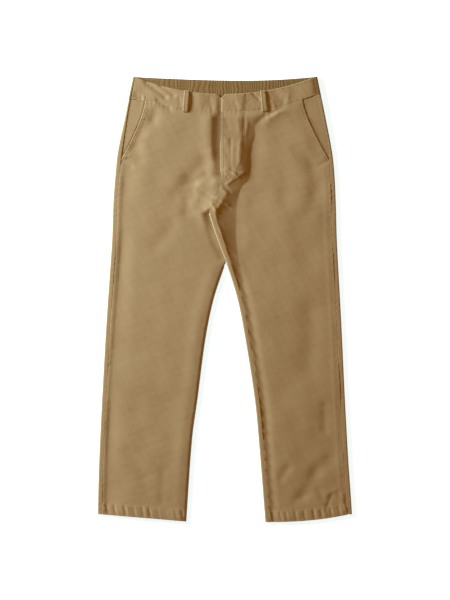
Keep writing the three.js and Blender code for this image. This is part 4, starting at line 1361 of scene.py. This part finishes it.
class CHINO_OT_back_band(Operator):
    """Makes the gathered back of the waistband, which is seen from inside"""

    bl_idname = "chino.back_band"
    bl_label = "Back of the Waistband"

    def execute(self, context):
        x = np.linspace(GATHERS_FROM, GATHERS_TO, GATHER_COLUMNS)
        share = np.linspace(0, 1, BACK_BAND_LEVELS)[:, None]
        down = back_rim(x) + share * back_band_height(x)
        wider = {leg: side[leg](down) / side[leg](0.0) for leg in SIGN}
        wide_x = x * np.where(x < 0, wider["right"], wider["left"])
        middle = [place(wide_x, down, z) for z in (SEAT_LIFT, self.gathered(x, share))]
        right, left = self.end("right", share), self.end("left", share)
        outer, inner = (
            np.concatenate([right[i], middle[i], left[i][:, ::-1]], axis=1)[:, ::-1] for i in range(2)
        )
        rim = 0.8 * bump(np.arange(BACK_BAND_LEVELS)[:, None] / BACK_BAND_LEVELS, 0.06)
        name = "waistband_back_cloth"
        # The band's darker inner colour is painted shade of its sunken place behind the front of the band.
        piece = shell(name, outer, inner, developed(outer), (rim, rim), material("inner_twill_painted_shade"))
        trims = [self.elastic_stitches(x)]
        cloth_piece(
            piece, "waistband_back", trims
        )
        return {"FINISHED"}

    def gathered(self, x, share):
        """Height of the upper face: ridges between pinched valleys, closest where the elastic pulls most."""
        density = GATHER_LOOSE + sum(rate * bump(x - at, width) for at, width, rate in GATHER_CLUSTERS)
        turns = np.cumsum(density) * (x[1] - x[0]) + 0.35 * np.sin(x / 17)
        sway = 0.16 * np.sin(2.2 * share * math.pi + x / 23)
        ridge = np.abs(np.sin(math.pi * (turns + sway))) ** 0.7
        fade = smooth(x, x[0] + 8, x[0] + 70) * fall(x, x[-1] - 70, x[-1] - 8)
        depth = bpy.context.scene.chino_cloth.gather_depth / MM
        strength = (0.6 + 0.4 * np.sin(x / 11 + 2) ** 2) * np.minimum(1, 0.13 / density)
        pinch = 1 - sum(pinched * bump(share - row, 0.05) for row, pinched in ELASTIC_ROWS)
        return SEAT_LIFT + BAND_CLOTH - 0.5 + depth * fade * strength * ridge * pinch

    def end(self, leg, share):
        """Outer and inner face of the folded end of the band, from its seam to the underside."""
        top, bottom = float(edge_top(0.0)), SEAT_LIFT
        radius = (top - bottom) / 2
        seam = seam_inset(leg, 0.0)
        insets = (seam, seam - 0.6, mix(radius, seam, 0.6), mix(radius, seam, 0.3))
        sections = [(inset, top, 1.0) for inset in insets]
        for angle in np.linspace(math.pi / 2, -math.pi / 2, ARC_COLUMNS):
            upward = math.sin(angle)
            sections.append((radius * (1 - math.cos(angle)), bottom + radius * (1 + upward), upward))
        faces = []
        for offset in (0.0, BAND_CLOTH):
            columns = []
            for inset, z, upward in sections:
                edge_down = share * front_seam(SIGN[leg] * side[leg](0.0))
                down = band_down(SIGN[leg] * (side[leg](edge_down) - inset), upward, share)
                inward = offset * math.sqrt(max(0.0, 1 - upward**2))
                x = SIGN[leg] * (side[leg](down) - inset - inward)
                columns.append(place(x, down, z - offset * upward)[:, 0])
            faces.append(np.stack(columns, axis=1))
        return faces

    def elastic_stitches(self, x):
        lines = []
        for share, _ in ELASTIC_ROWS:
            z = self.gathered(x, np.array([[share]]))[0] + 0.1
            lines.append(place(x, back_rim(x) + share * back_band_height(x), z)[::4])
        return stitches("elastic_stitches", lines)


class CHINO_OT_front_bands(Operator):
    """Makes the two flat front pieces of the waistband"""

    bl_idname = "chino.front_bands"
    bl_label = "Front of the Waistband"

    notch_width, notch_depth = 11.0, 9.0
    underlap_steps = (0.8, 1.6, 3, 5, 9, 15, 22, 30)

    def execute(self, context):
        for leg in ("right", "left"):
            x, down, z = self.grid(leg)
            thickness = BAND_CLOTH
            if leg == "right":
                thickness = mix(BAND_CLOTH, CLOTH + 0.2, smooth(x, FLY_X - 12, FLY_X - 1))
            wear = 0.7 * bump(np.minimum(down - down[0], down[-1] - down), 2.5)
            piece = wall(
                f"waistband_front_{leg}_cloth", place(x, down, z), thickness, material("outer_twill"),
                flat_cut(x, down), wear,
            )
            name = f"waistband_front_{leg}"
            cloth_piece(piece, name, [self.edge_stitches(leg)])
        return {"FINISHED"}

    def notch(self, x):
        """How far the corners of the two pieces fall away at the centre front."""
        return self.notch_depth * np.maximum(1 - np.abs(x - FLY_X) / self.notch_width, 0) ** 1.3

    def grid(self, leg):
        sign = SIGN[leg]
        edge = EDGE_STEPS / 45
        share = np.concatenate([edge, np.linspace(0.1, 0.9, 16), 1 - edge[::-1]])[:, None]
        outer = sign * side_seam(leg, share[:, 0] * BAND_HEIGHT)
        inner = np.full(len(share), FLY_X + sign * GAP / 2)
        x = between(outer, inner, BAND_COLUMNS).T
        if leg == "right":
            x = np.concatenate([x, inner[:, None] + np.array(self.underlap_steps)], axis=1)
        down = front_rim(x) + self.notch(x) * (1 - share) + share * band_height(x)
        z = band_level(leg, x, down)
        z = z - edge_drop(down - down[0], 1.5) - edge_drop(down[-1] - down, BAND_SEAM_ROUND)
        z = z - edge_drop(np.abs(x - outer[:, None]), SEAM_ROUND)
        if leg == "left":
            z = z - edge_drop(np.abs(x - inner[:, None]), 1.5)
            x, down, z = x[:, ::-1], down[:, ::-1], z[:, ::-1]
        return x, down, z

    def edge_stitches(self, leg):
        sign = SIGN[leg]
        start = FLY_X + (3.0 if leg == "left" else -4.0)
        x = np.linspace(start, sign * (WAIST_HALF - SEAM_INSET), 150)
        upper = stitched(x, front_rim(x) + self.notch(x) + BAND_ROWS[0], band_top)
        lower = stitched(x, front_seam(x) - BAND_ROWS[1], band_top)
        return stitches(f"waistband_stitches_{leg}", [upper, lower])


class CHINO_OT_fly(Operator):
    """Makes the facing and the underlap behind the fly"""

    bl_idname = "chino.fly"
    bl_label = "Fly Facing and Shield"

    def execute(self, context):
        self.facing()
        self.shield()
        return {"FINISHED"}

    def facing(self):
        down = np.linspace(front_seam(FLY_X) + 1.5, FLY_END - 8, 70)[:, None]
        reach = np.minimum(fly_stitch_x(down, 3.0), FLY_X + FLY_WIDTH - 3)
        x = mix(FLY_X + 1.2, reach, np.linspace(0, 1, 26))
        down = down + 0 * x
        z = front_height("left", x, down) - CLOTH - LAYER_GAP
        piece = wall("fly_facing_cloth", place(x, down, z), 1.0, material("inner_twill_painted_shade"))
        cloth_piece(piece, "fly_facing")

    def shield(self):
        down = np.linspace(front_seam(FLY_X) + 4, FLY_END - 2, 60)[:, None]
        width = 44.0 * (1 - 0.7 * smooth(down, FLY_END - 50, FLY_END))
        x = FLY_X - 8 + width * np.linspace(0, 1, 18)
        z = underside(down) + CLOTH + GAP + 1.1 + 0.12 * unevenness(x, down, 20, 11)
        piece = wall("fly_shield_cloth", place(x, down + 0 * x, z), 1.0, material("inner_twill_painted_shade"))
        cloth_piece(piece, "fly_shield")


class CHINO_OT_pockets(Operator):
    """Makes the hip pieces that show beyond the slanted pocket edges"""

    bl_idname = "chino.pockets"
    bl_label = "Pocket Facings"

    def execute(self, context):
        for leg in ("right", "left"):
            sign = SIGN[leg]
            outer_top = side_seam(leg, front_seam(sign * side[leg](0.0)))
            rows = np.linspace(0, 1, 58)[:, None]
            share = np.concatenate([[0, 0.01, 0.025], np.linspace(0.04, 1, 62)])
            top_x = mix(outer_top, POCKET_START[leg] - POCKET_UNDER, share)
            down = mix(front_seam(sign * top_x), POCKET_END + 14, rows)
            outer = side_seam(leg, down)
            x = sign * mix(outer, np.minimum(pocket_edge(leg, down) - POCKET_UNDER, outer - 6), share)
            beyond_edge = sign * x - pocket_edge(leg, down)
            hidden = smooth(-beyond_edge, -2, 6)
            groove = 0.6 * bump(beyond_edge - 0.6, 1.2)
            shown = mix(front_height(leg, x, down), edge_top(down), bump(beyond_edge - 30, 26)) - 0.9
            level = edge_top(down) - 1.2 * smooth(down, POCKET_END - 30, POCKET_END)
            under_front = np.minimum(front_height(leg, x, down) - CLOTH - LAYER_GAP, level)
            z = mix(shown, under_front, hidden) - groove
            z = z - edge_drop(np.abs(x - sign * outer), SEAM_ROUND) - edge_drop(down - down[0], SEAM_ROUND)
            if sign > 0:
                x, down, z = x[:, ::-1], down[:, ::-1], z[:, ::-1]
            piece = wall(
                f"pocket_facing_{leg}_cloth", place(x, down, z), CLOTH, material("outer_twill"),
                flat_cut(x, down),
            )
            cloth_piece(piece, f"pocket_facing_{leg}")
        return {"FINISHED"}


class CHINO_OT_loops(Operator):
    """Makes the belt loops, with their rows of stitching and bar tacks"""

    bl_idname = "chino.loops"
    bl_label = "Belt Loops"

    def execute(self, context):
        for leg, (x, lean) in FRONT_LOOPS.items():
            self.front_loop(leg, x, lean)
        for name, x in BACK_LOOPS.items():
            self.back_loop(name, x)
        return {"FINISHED"}

    def across(self):
        edge = EDGE_STEPS[:4]
        inner = np.linspace(edge[-1] + 0.8, LOOP_WIDTH - edge[-1] - 0.8, 7)
        return np.concatenate([edge, inner, LOOP_WIDTH - edge[::-1]]) - LOOP_WIDTH / 2

    def front_loop(self, leg, x, lean):
        start, end = front_rim(x) - 1.0, front_seam(x) + LOOP_BELOW
        share = np.concatenate([[0, 0.01, 0.03], np.linspace(0.06, 0.94, 30), [0.97, 0.99, 1]])[:, None]
        down = mix(start, end, share)
        middle = x + lean * (share - 0.5)
        across = self.across()
        from_edge = LOOP_WIDTH / 2 - np.abs(across)
        arch = LOOP_ARCH * np.sin(math.pi * share) ** 0.6
        crown = self.under_loop(leg, middle, down) + LOOP_CLOTH + LAYER_GAP + 0.4 + arch
        rounded = edge_drop(from_edge, 0.9) + edge_drop(np.minimum(share, 1 - share) * (end - start), 0.8)
        z = crown - rounded + 0.12 * np.sin(down / 2.3) * bump(from_edge, 2.5)
        piece = wall(
            f"belt_loop_front_{leg}_strap", place(middle + across, down, z), LOOP_CLOTH,
            material("outer_twill"), wear=0.6 * bump(from_edge, 1.4),
        )

        def top(_, level):
            return np.interp(level, down[:, 0], crown[:, 0])

        rows = np.linspace(start + 2, end - 2, 30)
        row_middle = np.interp(rows, down[:, 0], middle[:, 0])
        lines = [stitched(row_middle + offset, rows, top) for offset in LOOP_ROWS]
        for tack_x, tack_down in ((middle[0, 0], start + LOOP_TACK_IN), (middle[-1, 0], end - LOOP_TACK_IN)):
            lines.append(bar_tack(tack_x, tack_down, top, 0.0, LOOP_TACK_LENGTH))
        trims = [stitches(f"belt_loop_stitches_{leg}", lines)]
        cloth_piece(piece, f"belt_loop_front_{leg}", trims)

    def under_loop(self, leg, middle, down):
        """The highest cloth under each row of a front loop, evened out along the loop."""
        probe = middle + np.linspace(-LOOP_WIDTH / 2, LOOP_WIDTH / 2, 5)
        under = np.maximum(band_top(probe, down), front_height(leg, probe, down)).max(axis=1)
        return np.convolve(np.pad(under, 2, mode="edge"), np.ones(5) / 5, mode="valid")[:, None]

    def back_loop(self, name, x):
        start, end = back_rim(x) + 1.0, back_seam(x) - 1.0
        down = np.linspace(start, end, 24)[:, None]
        across = self.across()[::-1]
        points = place(x + across, down, edge_drop(LOOP_WIDTH / 2 - np.abs(across), 0.5))
        piece = wall(
            f"belt_loop_back_{name}_strap", points, LOOP_CLOTH - 0.1, material("outer_twill"), facing=-1.0
        )
        rows = np.linspace(start + 2, end - 2, 20)
        lines = [stitched(x + offset, rows, on_table) for offset in LOOP_ROWS]
        trims = [stitches(f"belt_loop_back_stitches_{name}", lines)]
        cloth_piece(piece, f"belt_loop_back_{name}", trims)


class CHINO_PT_panel(Panel):
    """Lists the pieces of the trousers and their sizes and colours"""

    bl_idname = "CHINO_PT_panel"
    bl_label = "Chino Trousers"
    bl_space_type = "VIEW_3D"
    bl_region_type = "UI"
    bl_category = "Chinos"

    def draw(self, context):
        for group in (context.scene.chino_cloth, context.scene.chino_colours):
            box = self.layout.box()
            for name in group.__annotations__:
                box.prop(group, name)
        for operator in OPERATORS:
            self.layout.operator(operator.bl_idname)


OPERATORS = (
    CHINO_OT_stage,
    CHINO_OT_loops,
    CHINO_OT_backs,
    CHINO_OT_back_band,
    CHINO_OT_fly,
    CHINO_OT_pockets,
    CHINO_OT_fronts,
    CHINO_OT_front_bands,
)
CLASSES = (ChinoCloth, ChinoColours, *OPERATORS, CHINO_PT_panel)


def register():
    for cls in CLASSES:
        bpy.utils.register_class(cls)
    bpy.types.Scene.chino_cloth = PointerProperty(type=ChinoCloth)
    bpy.types.Scene.chino_colours = PointerProperty(type=ChinoColours)


def unregister():
    del bpy.types.Scene.chino_colours
    del bpy.types.Scene.chino_cloth
    for cls in reversed(CLASSES):
        bpy.utils.unregister_class(cls)


def main():
    register()
    bpy.ops.chino.stage()
    bpy.ops.chino.loops()
    bpy.ops.chino.backs()
    bpy.ops.chino.back_band()
    bpy.ops.chino.fly()
    bpy.ops.chino.pockets()
    bpy.ops.chino.fronts()
    bpy.ops.chino.front_bands()


if __name__ == "__main__":
    main()
